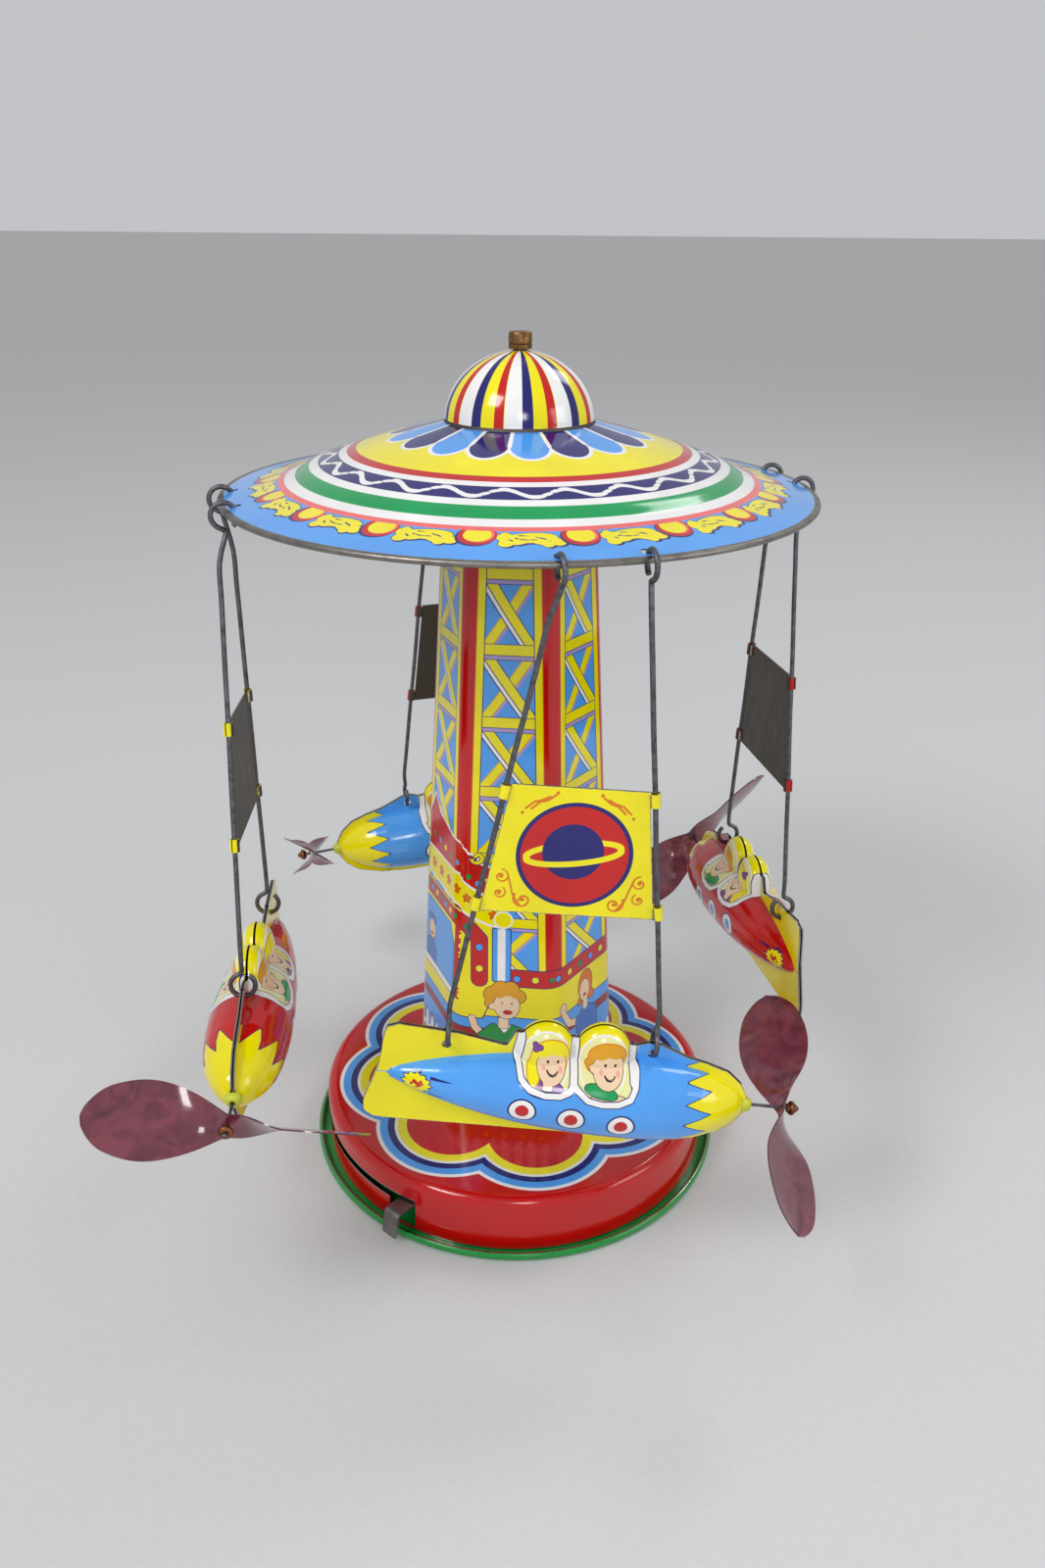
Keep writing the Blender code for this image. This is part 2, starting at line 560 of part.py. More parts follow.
def rocket_half(home, cutters):
    """Mesh of the outer pressed half: bulged body, two cockpit hoods and its half of the flange and fins."""
    section = [(0, BODY[-1][0] - 0.6)] + [(r, s) for s, r in reversed(BODY)] + [(0, BODY[0][0])]
    body = turned("half", section, home, None, LAY, steps=16, closed=False)
    cut(body, prism("half_fin", FIN_OUTLINE, -1.0, SEAM + FLANGE_T, cutters, None, STAND), "UNION")
    for i, (s, w) in enumerate(HOODS):
        ball = bmesh.new()
        place = Matrix.Translation((s, 0, w)) @ Matrix.Diagonal((8.2, 5.6, 9.6, 1))
        bmesh.ops.create_uvsphere(ball, u_segments=10, v_segments=6, radius=1.0, matrix=place)
        cut(body, from_bmesh(f"half_hood_{i}", ball, cutters, None), "UNION")
    inner = [(0, -101)] + [(r - FLANGE_T, s) for s, r in reversed(BODY[1:-1])] + [(3.3, -2.2), (0, -2.2)]
    cut(body, turned("half_cavity", inner, cutters, None, LAY, steps=16, closed=False))
    cut(body, box("half_split", (-130, -SEAM, -60), (30, 40, 60), cutters, None))
    bush_hole = [(0, -5.5), (2.8, -5.5), (2.8, 3), (0, 3)]
    cut(body, turned("half_nose_hole", bush_hole, cutters, None, LAY, steps=16, closed=False))
    holes = bmesh.new()
    quarter = Matrix.Rotation(math.radians(90), 4, "X")
    for s, w in ((LUG_S, LUG_W), (FIN_S, FIN_W)):
        bmesh.ops.create_cone(holes, cap_ends=True, segments=12, radius1=HOLE_R, radius2=HOLE_R,
                              depth=6.0, matrix=Matrix.Translation((s, 0, w)) @ quarter)
    cut(body, from_bmesh("half_holes", holes, cutters, None))
    return baked(body)


def mirrored(mesh):
    """The same pressing seen in a mirror, for the inner side of the rocket."""
    other = mesh.copy()
    other.transform(Matrix.Diagonal((1, -1, 1, 1)))
    other.flip_normals()
    return other


def build_nose_bush(name, frame, home):
    profile = [(0.85, -5.2), (2.4, -5.2), (2.4, 0.9), (1.8, 2.0), (0.85, 2.4)]
    return turned(name, profile, home, "lime", frame @ LAY, steps=16)


def build_propeller_axle(name, frame, home):
    """Wire axle: it is headed inside the nose and turned over in front of the propeller."""
    profile = [(0, -7.2), (1.6, -7.2), (1.6, -6.4), (0.5, -5.8), (0.5, HUB_S + 5.0), (0, HUB_S + 5.0)]
    return turned(name, profile, home, "steel", frame @ LAY, steps=12, closed=False)


def build_hub_bead(name, frame, home):
    z = HUB_S + 1.4
    profile = [(0.8, z), (1.4, z), (2.1, z + 0.8), (2.1, z + 1.8), (1.4, z + 2.8), (0.8, z + 2.8)]
    return turned(name, profile, home, "brass", frame @ LAY, steps=16)


def propeller_mesh(home, cutters):
    """Two twisted blades cut from one strip of celluloid, on a flat middle with the axle's hole."""
    bm = bmesh.new()
    rows = []
    for k in range(-9, 10):
        share = abs(k) / 9
        hand = -1 if k < 0 else 1
        half = 3.2 + 7.8 * math.sin(math.pi * (0.05 + 0.8 * share)) ** 1.4
        half *= (1.0, 1.0, 1.0, 1.0, 1.0, 1.0, 1.0, 1.0, 0.94, 0.42)[abs(k)]
        twist = math.radians(52.0) * min(1.0, share * 2.6)
        across = Vector((math.sin(twist), 0, hand * math.cos(twist))) * hand
        middle = Vector((0, BLADE_R * k / 9, 0))
        rows.append([bm.verts.new(middle + across * half * (j * 2 / 3 - 1)) for j in range(4)])
    for a, b in zip(rows, rows[1:]):
        for j in range(3):
            bm.faces.new((a[j], a[j + 1], b[j + 1], b[j]))
    bmesh.ops.recalc_face_normals(bm, faces=bm.faces)
    blade = from_bmesh("propeller", bm, home, None, smooth=60)
    skin = blade.modifiers.new("thickness", "SOLIDIFY")
    skin.thickness = 0.4 * MM
    skin.offset = 0.0
    hole = [(0, -3), (0.8, -3), (0.8, 3), (0, 3)]
    cut(blade, turned("propeller_hole", hole, cutters, None, LAY, steps=12, closed=False))
    return baked(blade)


def build_rocket(place, shared, home, cutters):
    """Everything that hangs at one place on the rim, from the meshes that the four rockets share."""
    name, azimuth, yaw, lean, angle, colour = place
    flag_colour = "yellow" if name in ("front", "left") else "red"
    frame = rocket_frame(azimuth, yaw, lean)
    build_hanger_wire(f"{name}_fore_wire", azimuth, yaw, lean, 1, home)
    build_hanger_wire(f"{name}_aft_wire", azimuth, yaw, lean, -1, home)
    build_flag(f"{name}_flag", azimuth, yaw, lean, home, cutters, flag_colour)
    for half in ("outer", "inner"):
        add_object(f"{name}_rocket_{half}_shell", shared[half].copy(), home, colour, frame)
    build_nose_bush(f"{name}_nose_bush", frame, home)
    build_propeller_axle(f"{name}_propeller_axle", frame, home)
    turn = Matrix.Translation((HUB_S * MM, 0, 0)) @ Matrix.Rotation(math.radians(angle), 4, "X")
    add_object(f"{name}_propeller", shared["propeller"].copy(), home, "celluloid", frame @ turn)
    build_hub_bead(f"{name}_hub_bead", frame, home)


def main():
    clear_scene()
    home = collection("rocket_carousel")
    cutters = collection("cutters")
    build_base_plate(home)
    build_drum(home, cutters)
    build_tower(home, cutters)
    build_top_bearing(home, cutters)
    build_bearings(home, cutters)
    build_lever_pin(home)
    build_lever(home, cutters)
    build_return_spring(home)
    build_spring_post(home)
    build_pinion(home, cutters)
    build_pawl(home)
    build_ratchet(home, cutters)
    build_shaft(home)
    build_canopy(home, cutters)
    build_canopy_hub(home)
    build_collar(home)
    half = rocket_half(home, cutters)
    shared = {"outer": half, "inner": mirrored(half), "propeller": propeller_mesh(home, cutters)}
    for place in ROCKETS:
        build_rocket(place, shared, home, cutters)


main()
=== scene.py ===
"""Lever-worked rocket carousel of printed tinplate, dressed over its packed mechanical frame.

A drum-shaped base carries a six-sided tower. A round canopy turns on top of it, and four little rockets
with transparent propellers hang from the canopy's rim on bent wires with a square flag between them.
Sizes are in millimetres in the classes below and turned to metres where a mesh is made.
"""

import json
import logging
import math
from dataclasses import dataclass
from enum import Enum

import bpy
import numpy as np
from mathutils import Matrix, Vector

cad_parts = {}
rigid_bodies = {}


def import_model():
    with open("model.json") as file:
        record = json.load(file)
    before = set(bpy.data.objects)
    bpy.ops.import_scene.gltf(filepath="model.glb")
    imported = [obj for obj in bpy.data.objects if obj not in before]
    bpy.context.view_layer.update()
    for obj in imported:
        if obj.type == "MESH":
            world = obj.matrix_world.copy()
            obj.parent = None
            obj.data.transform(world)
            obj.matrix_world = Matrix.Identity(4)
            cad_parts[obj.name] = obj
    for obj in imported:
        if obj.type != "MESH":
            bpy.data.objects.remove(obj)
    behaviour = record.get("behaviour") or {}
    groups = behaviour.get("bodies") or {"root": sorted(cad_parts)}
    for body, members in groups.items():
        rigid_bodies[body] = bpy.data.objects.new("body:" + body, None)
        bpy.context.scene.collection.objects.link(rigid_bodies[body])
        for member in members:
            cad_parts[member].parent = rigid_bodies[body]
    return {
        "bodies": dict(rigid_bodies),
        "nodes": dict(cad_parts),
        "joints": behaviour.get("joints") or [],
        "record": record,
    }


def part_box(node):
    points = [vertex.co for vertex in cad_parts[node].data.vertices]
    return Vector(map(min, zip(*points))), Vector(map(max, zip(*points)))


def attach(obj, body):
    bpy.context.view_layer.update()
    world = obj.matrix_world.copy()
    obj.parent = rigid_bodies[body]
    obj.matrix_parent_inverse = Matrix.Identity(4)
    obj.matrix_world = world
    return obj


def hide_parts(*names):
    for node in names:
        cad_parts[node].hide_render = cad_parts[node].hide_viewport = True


MM = 0.001
LOG = logging.getLogger("rocket_carousel")
Field = np.ndarray
Point = tuple[float, float]


# ------------------------------------------------------------------ colours and nodes


def linear(hex_colour: str) -> tuple[float, float, float, float]:
    """Turn an sRGB colour to the linear values that shaders use.

    Args:
        hex_colour: the colour as #rrggbb.

    Returns:
        Linear red, green and blue, with alpha 1.
    """
    parts = [int(hex_colour[i : i + 2], 16) / 255 for i in (1, 3, 5)]
    return (*[c / 12.92 if c <= 0.04045 else ((c + 0.055) / 1.055) ** 2.4 for c in parts], 1.0)


def node(tree: bpy.types.NodeTree, kind: str, feeds: dict | None = None, **settings) -> bpy.types.Node:
    """Add a node to a material.

    Args:
        tree: the material's node tree.
        kind: the node's type name.
        feeds: input names or numbers, each with the socket that feeds it or its value.
        settings: attributes of the node.

    Returns:
        The new node.
    """
    made = tree.nodes.new(kind)
    for key, value in settings.items():
        setattr(made, key, value)
    for key, value in (feeds or {}).items():
        if isinstance(value, bpy.types.NodeSocket):
            tree.links.new(value, made.inputs[key])
        else:
            made.inputs[key].default_value = value
    return made


def blank_material(name: str) -> tuple[bpy.types.Material, bpy.types.NodeTree, bpy.types.Node]:
    """Start a material that holds only a Principled shader and its output.

    Args:
        name: the material's name.

    Returns:
        The material, its tree and the shader.
    """
    made = bpy.data.materials.new(name)
    made.use_nodes = True
    tree = made.node_tree
    tree.nodes.clear()
    shader = node(tree, "ShaderNodeBsdfPrincipled")
    node(tree, "ShaderNodeOutputMaterial", {"Surface": shader.outputs["BSDF"]})
    return made, tree, shader


class Ink(Enum):
    """The printing inks of the toy, as they look under the varnish."""

    RED = "#c40a0a"
    DEEP_RED = "#920a10"
    GREEN = "#0f8f3a"
    LEAF = "#0c9a55"
    YELLOW = "#f2e400"
    GOLD = "#dd9d10"
    ORANGE = "#d87300"
    SKY = "#4f9ff0"
    BLUE = "#2a6fc8"
    NAVY = "#15106a"
    WHITE = "#f1efee"
    LILAC = "#ab9ad0"
    SALMON = "#ee6a68"
    SKIN = "#f0d0ac"
    BLUSH = "#e9a898"
    GLASS = "#e9e7a0"
    PURPLE = "#7b3f92"
    BLACK = "#17151c"


class Finish:
    """A named surface finish, whose material is made once and shared by the pieces that have it."""

    name: str

    def fill(self, tree: bpy.types.NodeTree, shader: bpy.types.Node, place: bpy.types.NodeSocket) -> None:
        """Add the nodes that give this finish its look.

        Args:
            tree: the material's node tree.
            shader: its Principled shader.
            place: the socket that gives a point's place in its object.
        """
        raise NotImplementedError

    def material(self) -> bpy.types.Material:
        """Find this finish's material, or make it.

        Returns:
            The material.
        """
        found = bpy.data.materials.get(self.name)
        if found:
            return found
        made, tree, shader = blank_material(self.name)
        self.fill(tree, shader, node(tree, "ShaderNodeTexCoord").outputs["Object"])
        return made


@dataclass(frozen=True)
class Tinplate(Finish):
    """Bare tinned steel sheet, cold rolled: a grey mirror dulled by rolling lines and spots of tarnish."""

    name: str
    colour: str = "#8d8883"
    roughness: float = 0.36
    line_mm: float = 0.35

    def fill(self, tree: bpy.types.NodeTree, shader: bpy.types.Node, place: bpy.types.NodeSocket) -> None:
        """Add the nodes that give this finish its look."""
        long_lines = node(tree, "ShaderNodeMapping", {"Vector": place, "Scale": (1.0, 1.0, 0.06)})
        lines = node(
            tree, "ShaderNodeTexNoise",
            {"Vector": long_lines.outputs[0], "Scale": 1 / (self.line_mm * MM), "Detail": 3.0}
        )
        spots = node(
            tree, "ShaderNodeTexNoise",
            {"Vector": place, "Scale": 1 / (6 * MM), "Detail": 5.0, "Roughness": 0.62}
        )
        tarnish = node(
            tree, "ShaderNodeMapRange", {"Value": spots.outputs[0], 1: 0.42, 2: 0.72, 3: 0.0, 4: 0.75}
        )
        tone = node(
            tree, "ShaderNodeMix", {0: tarnish.outputs[0], 6: linear(self.colour), 7: linear("#5c554f")},
            data_type="RGBA"
        )
        tree.links.new(tone.outputs[2], shader.inputs["Base Color"])
        shine = node(
            tree, "ShaderNodeMapRange",
            {"Value": lines.outputs[0], 1: 0.3, 2: 0.7, 3: self.roughness - 0.08, 4: self.roughness + 0.14}
        )
        tree.links.new(shine.outputs[0], shader.inputs["Roughness"])
        bump = node(
            tree, "ShaderNodeBump", {"Height": lines.outputs[0], "Strength": 0.12, "Distance": 0.02 * MM}
        )
        tree.links.new(bump.outputs[0], shader.inputs["Normal"])
        shader.inputs["Metallic"].default_value = 1.0


@dataclass(frozen=True)
class DrawnWire(Finish):
    """Drawn steel wire, galvanised long ago: dull mid grey with blotches and draw marks along it."""

    name: str
    colour: str = "#75757b"

    def fill(self, tree: bpy.types.NodeTree, shader: bpy.types.Node, place: bpy.types.NodeSocket) -> None:
        """Add the nodes that give this finish its look."""
        bloom = node(
            tree, "ShaderNodeTexNoise",
            {"Vector": place, "Scale": 1 / (2.2 * MM), "Detail": 6.0, "Roughness": 0.7}
        )
        share = node(
            tree, "ShaderNodeMapRange", {"Value": bloom.outputs[0], 1: 0.35, 2: 0.68, 3: 0.0, 4: 1.0}
        )
        tone = node(
            tree, "ShaderNodeMix", {0: share.outputs[0], 6: linear(self.colour), 7: linear("#4d4b4f")},
            data_type="RGBA"
        )
        tree.links.new(tone.outputs[2], shader.inputs["Base Color"])
        shine = node(tree, "ShaderNodeMapRange", {"Value": bloom.outputs[0], 3: 0.34, 4: 0.62})
        tree.links.new(shine.outputs[0], shader.inputs["Roughness"])
        pits = node(tree, "ShaderNodeTexNoise", {"Vector": place, "Scale": 1 / (0.5 * MM), "Detail": 2.0})
        bump = node(
            tree, "ShaderNodeBump", {"Height": pits.outputs[0], "Strength": 0.35, "Distance": 0.05 * MM}
        )
        tree.links.new(bump.outputs[0], shader.inputs["Normal"])
        shader.inputs["Metallic"].default_value = 0.92


@dataclass(frozen=True)
class TurnedBrass(Finish):
    """Turned brass gone brown with age: tool rings round the axis and a darker bloom of tarnish."""

    name: str
    colour: str = "#9a7448"
    dark: str = "#5e4730"

    def fill(self, tree: bpy.types.NodeTree, shader: bpy.types.Node, place: bpy.types.NodeSocket) -> None:
        """Add the nodes that give this finish its look."""
        bloom = node(
            tree, "ShaderNodeTexNoise",
            {"Vector": place, "Scale": 1 / (1.8 * MM), "Detail": 5.0, "Roughness": 0.65}
        )
        share = node(tree, "ShaderNodeMapRange", {"Value": bloom.outputs[0], 1: 0.35, 2: 0.7, 3: 0.0, 4: 0.9})
        tone = node(
            tree, "ShaderNodeMix", {0: share.outputs[0], 6: linear(self.colour), 7: linear(self.dark)},
            data_type="RGBA"
        )
        tree.links.new(tone.outputs[2], shader.inputs["Base Color"])
        flat = node(tree, "ShaderNodeMapping", {"Vector": place, "Scale": (0.02, 0.02, 1.0)})
        rings = node(
            tree, "ShaderNodeTexNoise", {"Vector": flat.outputs[0], "Scale": 1 / (0.16 * MM), "Detail": 2.0}
        )
        bump = node(
            tree, "ShaderNodeBump", {"Height": rings.outputs[0], "Strength": 0.3, "Distance": 0.03 * MM}
        )
        tree.links.new(bump.outputs[0], shader.inputs["Normal"])
        shine = node(tree, "ShaderNodeMapRange", {"Value": bloom.outputs[0], 3: 0.28, 4: 0.55})
        tree.links.new(shine.outputs[0], shader.inputs["Roughness"])
        shader.inputs["Metallic"].default_value = 1.0


@dataclass(frozen=True)
class Celluloid(Finish):
    """Cut celluloid film, tinted and buffed: clear, with cloudy streaks and scuffs that catch the light."""

    name: str
    colour: str = "#a04e60"

    def fill(self, tree: bpy.types.NodeTree, shader: bpy.types.Node, place: bpy.types.NodeSocket) -> None:
        """Add the nodes that give this finish its look."""
        cloud = node(
            tree, "ShaderNodeTexNoise",
            {"Vector": place, "Scale": 1 / (9 * MM), "Detail": 4.0, "Distortion": 1.6}
        )
        share = node(tree, "ShaderNodeMapRange", {"Value": cloud.outputs[0], 1: 0.35, 2: 0.7, 3: 0.0, 4: 1.0})
        tone = node(
            tree, "ShaderNodeMix", {0: share.outputs[0], 6: linear(self.colour), 7: linear("#6e3144")},
            data_type="RGBA"
        )
        tree.links.new(tone.outputs[2], shader.inputs["Base Color"])
        clear = node(tree, "ShaderNodeMapRange", {"Value": cloud.outputs[0], 1: 0.3, 2: 0.7, 3: 0.82, 4: 0.6})
        tree.links.new(clear.outputs[0], shader.inputs["Transmission Weight"])
        scuff = node(tree, "ShaderNodeTexNoise", {"Vector": place, "Scale": 1 / (0.8 * MM), "Detail": 3.0})
        shine = node(tree, "ShaderNodeMapRange", {"Value": scuff.outputs[0], 3: 0.06, 4: 0.24})
        tree.links.new(shine.outputs[0], shader.inputs["Roughness"])
        shader.inputs["IOR"].default_value = 1.5
        shader.inputs["Coat Weight"].default_value = 0.4


@dataclass(frozen=True)
class MouldedBush(Finish):
    """Small moulded polythene bush, greenish yellow: waxy and soft looking, with a faint mould texture."""

    name: str
    colour: str = "#cfd63c"

    def fill(self, tree: bpy.types.NodeTree, shader: bpy.types.Node, place: bpy.types.NodeSocket) -> None:
        """Add the nodes that give this finish its look."""
        grime = node(tree, "ShaderNodeTexNoise", {"Vector": place, "Scale": 1 / (1.6 * MM), "Detail": 4.0})
        share = node(tree, "ShaderNodeMapRange", {"Value": grime.outputs[0], 1: 0.4, 2: 0.75, 3: 0.0, 4: 0.5})
        tone = node(
            tree, "ShaderNodeMix", {0: share.outputs[0], 6: linear(self.colour), 7: linear("#a4a632")},
            data_type="RGBA"
        )
        tree.links.new(tone.outputs[2], shader.inputs["Base Color"])
        bump = node(
            tree, "ShaderNodeBump", {"Height": grime.outputs[0], "Strength": 0.15, "Distance": 0.05 * MM}
        )
        tree.links.new(bump.outputs[0], shader.inputs["Normal"])
        shader.inputs["Roughness"].default_value = 0.42
        shader.inputs["Subsurface Weight"].default_value = 0.15
        shader.inputs["Subsurface Scale"].default_value = 0.6 * MM


@dataclass(frozen=True)
class Varnished(Finish):
    """Offset-printed tinplate, varnished and baked: flat glossy inks, faint mottle, worn to tin at its edges."""

    name: str
    ground: Ink
    inks: tuple[tuple[Ink, int, float], ...]
    wear_mm: float = 0.35
    roughness: float = 0.14

    def fill(self, tree: bpy.types.NodeTree, shader: bpy.types.Node, place: bpy.types.NodeSocket) -> None:
        """Add the nodes that give this finish its look."""
        colour = node(tree, "ShaderNodeRGB").outputs[0]
        colour.default_value = linear(self.ground.value)
        known: dict[int, bpy.types.NodeSocket] = {}
        for ink, number, grow in self.inks:
            if number not in known:
                known[number] = node(
                    tree, "ShaderNodeAttribute", attribute_name=f"print_{number:02d}"
                ).outputs["Fac"]
            edge = node(
                tree, "ShaderNodeMapRange",
                {"Value": known[number], 1: grow - 0.06, 2: grow + 0.06, 3: 1.0, 4: 0.0}
            )
            mix = node(
                tree, "ShaderNodeMix", {0: edge.outputs[0], 6: colour, 7: linear(ink.value)},
                data_type="RGBA"
            )
            colour = mix.outputs[2]
        mottle = node(tree, "ShaderNodeTexNoise", {"Vector": place, "Scale": 1 / (14 * MM), "Detail": 3.0})
        lift = node(
            tree, "ShaderNodeMapRange", {"Value": mottle.outputs[0], 1: 0.3, 2: 0.7, 3: 0.92, 4: 1.04}
        )
        toned = node(tree, "ShaderNodeHueSaturation", {"Value": lift.outputs[0], "Color": colour})
        edge_place = node(tree, "ShaderNodeAttribute", attribute_name="sheet_edge")
        chips = node(
            tree, "ShaderNodeTexNoise",
            {"Vector": place, "Scale": 1 / (1.3 * MM), "Detail": 4.0, "Roughness": 0.7}
        )
        ragged = node(
            tree, "ShaderNodeMath",
            {0: chips.outputs[0], 1: -2.4 * self.wear_mm, 2: edge_place.outputs["Fac"]},
            operation="MULTIPLY_ADD"
        )
        worn = node(
            tree, "ShaderNodeMapRange",
            {"Value": ragged.outputs[0], 1: -0.42 * self.wear_mm, 2: -0.2 * self.wear_mm, 3: 1.0, 4: 0.0}
        )
        bare = node(
            tree, "ShaderNodeMix", {0: worn.outputs[0], 6: toned.outputs[0], 7: linear("#9b9790")},
            data_type="RGBA"
        )
        tree.links.new(bare.outputs[2], shader.inputs["Base Color"])
        tree.links.new(worn.outputs[0], shader.inputs["Metallic"])
        smear = node(
            tree, "ShaderNodeTexNoise",
            {"Vector": place, "Scale": 1 / (5 * MM), "Detail": 6.0, "Roughness": 0.6}
        )
        shine = node(
            tree, "ShaderNodeMapRange",
            {"Value": smear.outputs[0], 1: 0.3, 2: 0.75, 3: self.roughness - 0.05, 4: self.roughness + 0.08}
        )
        tree.links.new(shine.outputs[0], shader.inputs["Roughness"])
        ripple = node(tree, "ShaderNodeTexNoise", {"Vector": place, "Scale": 1 / (2.6 * MM), "Detail": 1.0})
        bump = node(
            tree, "ShaderNodeBump", {"Height": ripple.outputs[0], "Strength": 0.18, "Distance": 0.05 * MM}
        )
        tree.links.new(bump.outputs[0], shader.inputs["Normal"])
        shader.inputs["Coat Weight"].default_value = 0.2
        shader.inputs["Coat Roughness"].default_value = 0.06


BARE_TIN = Tinplate("bare_tinplate_cold_rolled")
# Inside and underside tin: the bare tin is real, but its darker, duller colour is painted shade and a painted
# reflection of the dark room.
INSIDE_SHADE_TIN = Tinplate("tarnished_tinplate_inside", "#5b5651", 0.5, 0.5)
STEEL = Tinplate("blanked_steel_sheet", "#8a8686", 0.42, 0.3)
WIRE = DrawnWire("galvanised_wire_drawn")
BRASS = TurnedBrass("aged_brass_turned")
COPPER = TurnedBrass("copper_bead_turned", "#9c6445", "#5d3a2a")
FILM = Celluloid("pink_celluloid_film")
POLYTHENE = MouldedBush("yellow_polythene_moulded")


# ------------------------------------------------------------------ drawing with signed distances


def disc(u: Field, v: Field, x: float, y: float, r: float) -> Field:
    """Distance to a round spot: negative inside it."""
    return np.hypot(u - x, v - y) - r


def oval(u: Field, v: Field, x: float, y: float, a: float, b: float, turn: float = 0.0) -> Field:
    """Distance to an oval with half-axes a and b, turned by an angle in degrees.

    Args:
        u: place across the sheet in mm.
        v: place up the sheet in mm.
        x: the middle, across.
        y: the middle, up.
        a: first end or half-axis.
        b: second end or half-axis.
        turn: angle in degrees.

    Returns:
        Signed distance in mm.
    """
    c, s = math.cos(math.radians(turn)), math.sin(math.radians(turn))
    p, q = (u - x) * c + (v - y) * s, (v - y) * c - (u - x) * s
    near = np.hypot(p / a, q / b)
    slope = np.hypot(p / a**2, q / b**2) + 1e-9
    return near * (near - 1.0) / slope


def bar(u: Field, v: Field, a: Point, b: Point, half: float) -> Field:
    """Distance to a straight stroke with round ends, from a to b.

    Args:
        u: place across the sheet in mm.
        v: place up the sheet in mm.
        a: first end or half-axis.
        b: second end or half-axis.
        half: half the width in mm.

    Returns:
        Signed distance in mm.
    """
    dx, dy = b[0] - a[0], b[1] - a[1]
    t = np.clip(((u - a[0]) * dx + (v - a[1]) * dy) / (dx * dx + dy * dy + 1e-12), 0.0, 1.0)
    return np.hypot(u - a[0] - t * dx, v - a[1] - t * dy) - half


def line(u: Field, v: Field, points: list[Point], half: float) -> Field:
    """Distance to a bent stroke through points."""
    return union(*[bar(u, v, a, b, half) for a, b in zip(points, points[1:])])


def slab(u: Field, v: Field, x: float, y: float, a: float, b: float, soft: float = 0.0) -> Field:
    """Distance to an upright rectangle with half-sides a and b and corners rounded by soft."""
    p, q = np.abs(u - x) - a + soft, np.abs(v - y) - b + soft
    return np.hypot(np.maximum(p, 0), np.maximum(q, 0)) + np.minimum(np.maximum(p, q), 0) - soft


def patch(u: Field, v: Field, corners: list[Point]) -> Field:
    """Distance to the closed patch with these corners.

    Args:
        u: place across the sheet in mm.
        v: place up the sheet in mm.
        corners: the corners in mm, in order.

    Returns:
        Signed distance in mm.
    """
    far = np.full(np.shape(u), np.inf)
    inside = np.zeros(np.shape(u), bool)
    for a, b in zip(corners, corners[1:] + corners[:1]):
        far = np.minimum(far, bar(u, v, a, b, 0.0))
        crosses = (a[1] > v) != (b[1] > v)
        with np.errstate(divide="ignore", invalid="ignore"):
            reach = (b[0] - a[0]) * (v - a[1]) / (b[1] - a[1]) + a[0]
        inside ^= crosses & (u < reach)
    return np.where(inside, -far, far)


def curl(u: Field, v: Field, x: float, y: float, r: float, start: float, sweep: float, half: float) -> Field:
    """Distance to a stroke that winds inward from radius r to a quarter of it.

    Args:
        u: place across the sheet in mm.
        v: place up the sheet in mm.
        x: the middle, across.
        y: the middle, up.
        r: outer radius in mm.
        start: first angle in degrees.
        sweep: how far it winds, in degrees.
        half: half the stroke in mm.

    Returns:
        Signed distance in mm.
    """
    points = []
    for i in range(15):
        t = i / 14
        a = math.radians(start + sweep * t)
        points.append((x + r * (1 - 0.75 * t) * math.cos(a), y + r * (1 - 0.75 * t) * math.sin(a)))
    return line(u, v, points, half)


def union(*fields: Field) -> Field:
    """Distance to several shapes taken together."""
    return np.minimum.reduce(fields)


def inside_both(*fields: Field) -> Field:
    """Distance to what several shapes have in common."""
    return np.maximum.reduce(fields)


class Artwork:
    """One sheet's print: inks laid one over another, each over a shape drawn on the sheet."""

    def __init__(self, obj: bpy.types.Object, ground: Ink) -> None:
        """Start a print on a piece with its ground colour.

        Args:
            obj: the piece.
            ground: the ink laid first.
        """
        self.obj, self.ground = obj, ground
        self.fields: list[Field] = []
        self.inks: list[tuple[Ink, int, float]] = []

    def lay(self, ink: Ink, field: Field, outline: Ink | None = None, width: float = 0.35) -> None:
        """Lay one ink, with an outline of its own ink round it if asked.

        Args:
            ink: the ink that fills the shape.
            field: signed distance in mm at each vertex.
            outline: the ink of the line round it.
            width: how far the line reaches past the shape, in mm.
        """
        self.fields.append(field)
        number = len(self.fields) - 1
        if outline is not None:
            self.inks.append((outline, number, width))
        self.inks.append((ink, number, 0.0))

    def finish(self, name: str, sheet_edge: Field, wear_mm: float = 0.35) -> bpy.types.Material:
        """Store the distances on the mesh and dress it.

        Args:
            name: the finish's name.
            sheet_edge: distance in mm from the sheet's cut edges.
            wear_mm: how wide the worn strip along an edge is.

        Returns:
            The material, in the piece's first slot.
        """
        mesh = self.obj.data
        stored = [
            (f"print_{i:02d}", field) for i, field in enumerate(self.fields)
        ] + [("sheet_edge", sheet_edge)]
        for key, field in stored:
            mesh.attributes.new(key, "FLOAT", "POINT").data.foreach_set("value", field.astype(np.float32))
        made = Varnished(name, self.ground, tuple(self.inks), wear_mm).material()
        if mesh.materials:
            mesh.materials[0] = made
        else:
            mesh.materials.append(made)
        return made


# ------------------------------------------------------------------ modelling


def only(obj: bpy.types.Object | None = None) -> None:
    """Deselect everything, then make one piece the active selection.

    Args:
        obj: the piece.
    """
    if bpy.context.mode != "OBJECT":
        bpy.ops.object.mode_set(mode="OBJECT")
    for other in bpy.context.selected_objects:
        other.select_set(False)
    if obj is not None:
        obj.select_set(True)
    bpy.context.view_layer.objects.active = obj


def places(obj: bpy.types.Object) -> np.ndarray:
    """Vertex places of a piece in mm, as an n by 3 array.

    Args:
        obj: the piece.

    Returns:
        The points in mm.
    """
    flat = np.empty(len(obj.data.vertices) * 3)
    obj.data.vertices.foreach_get("co", flat)
    return flat.reshape(-1, 3) / MM


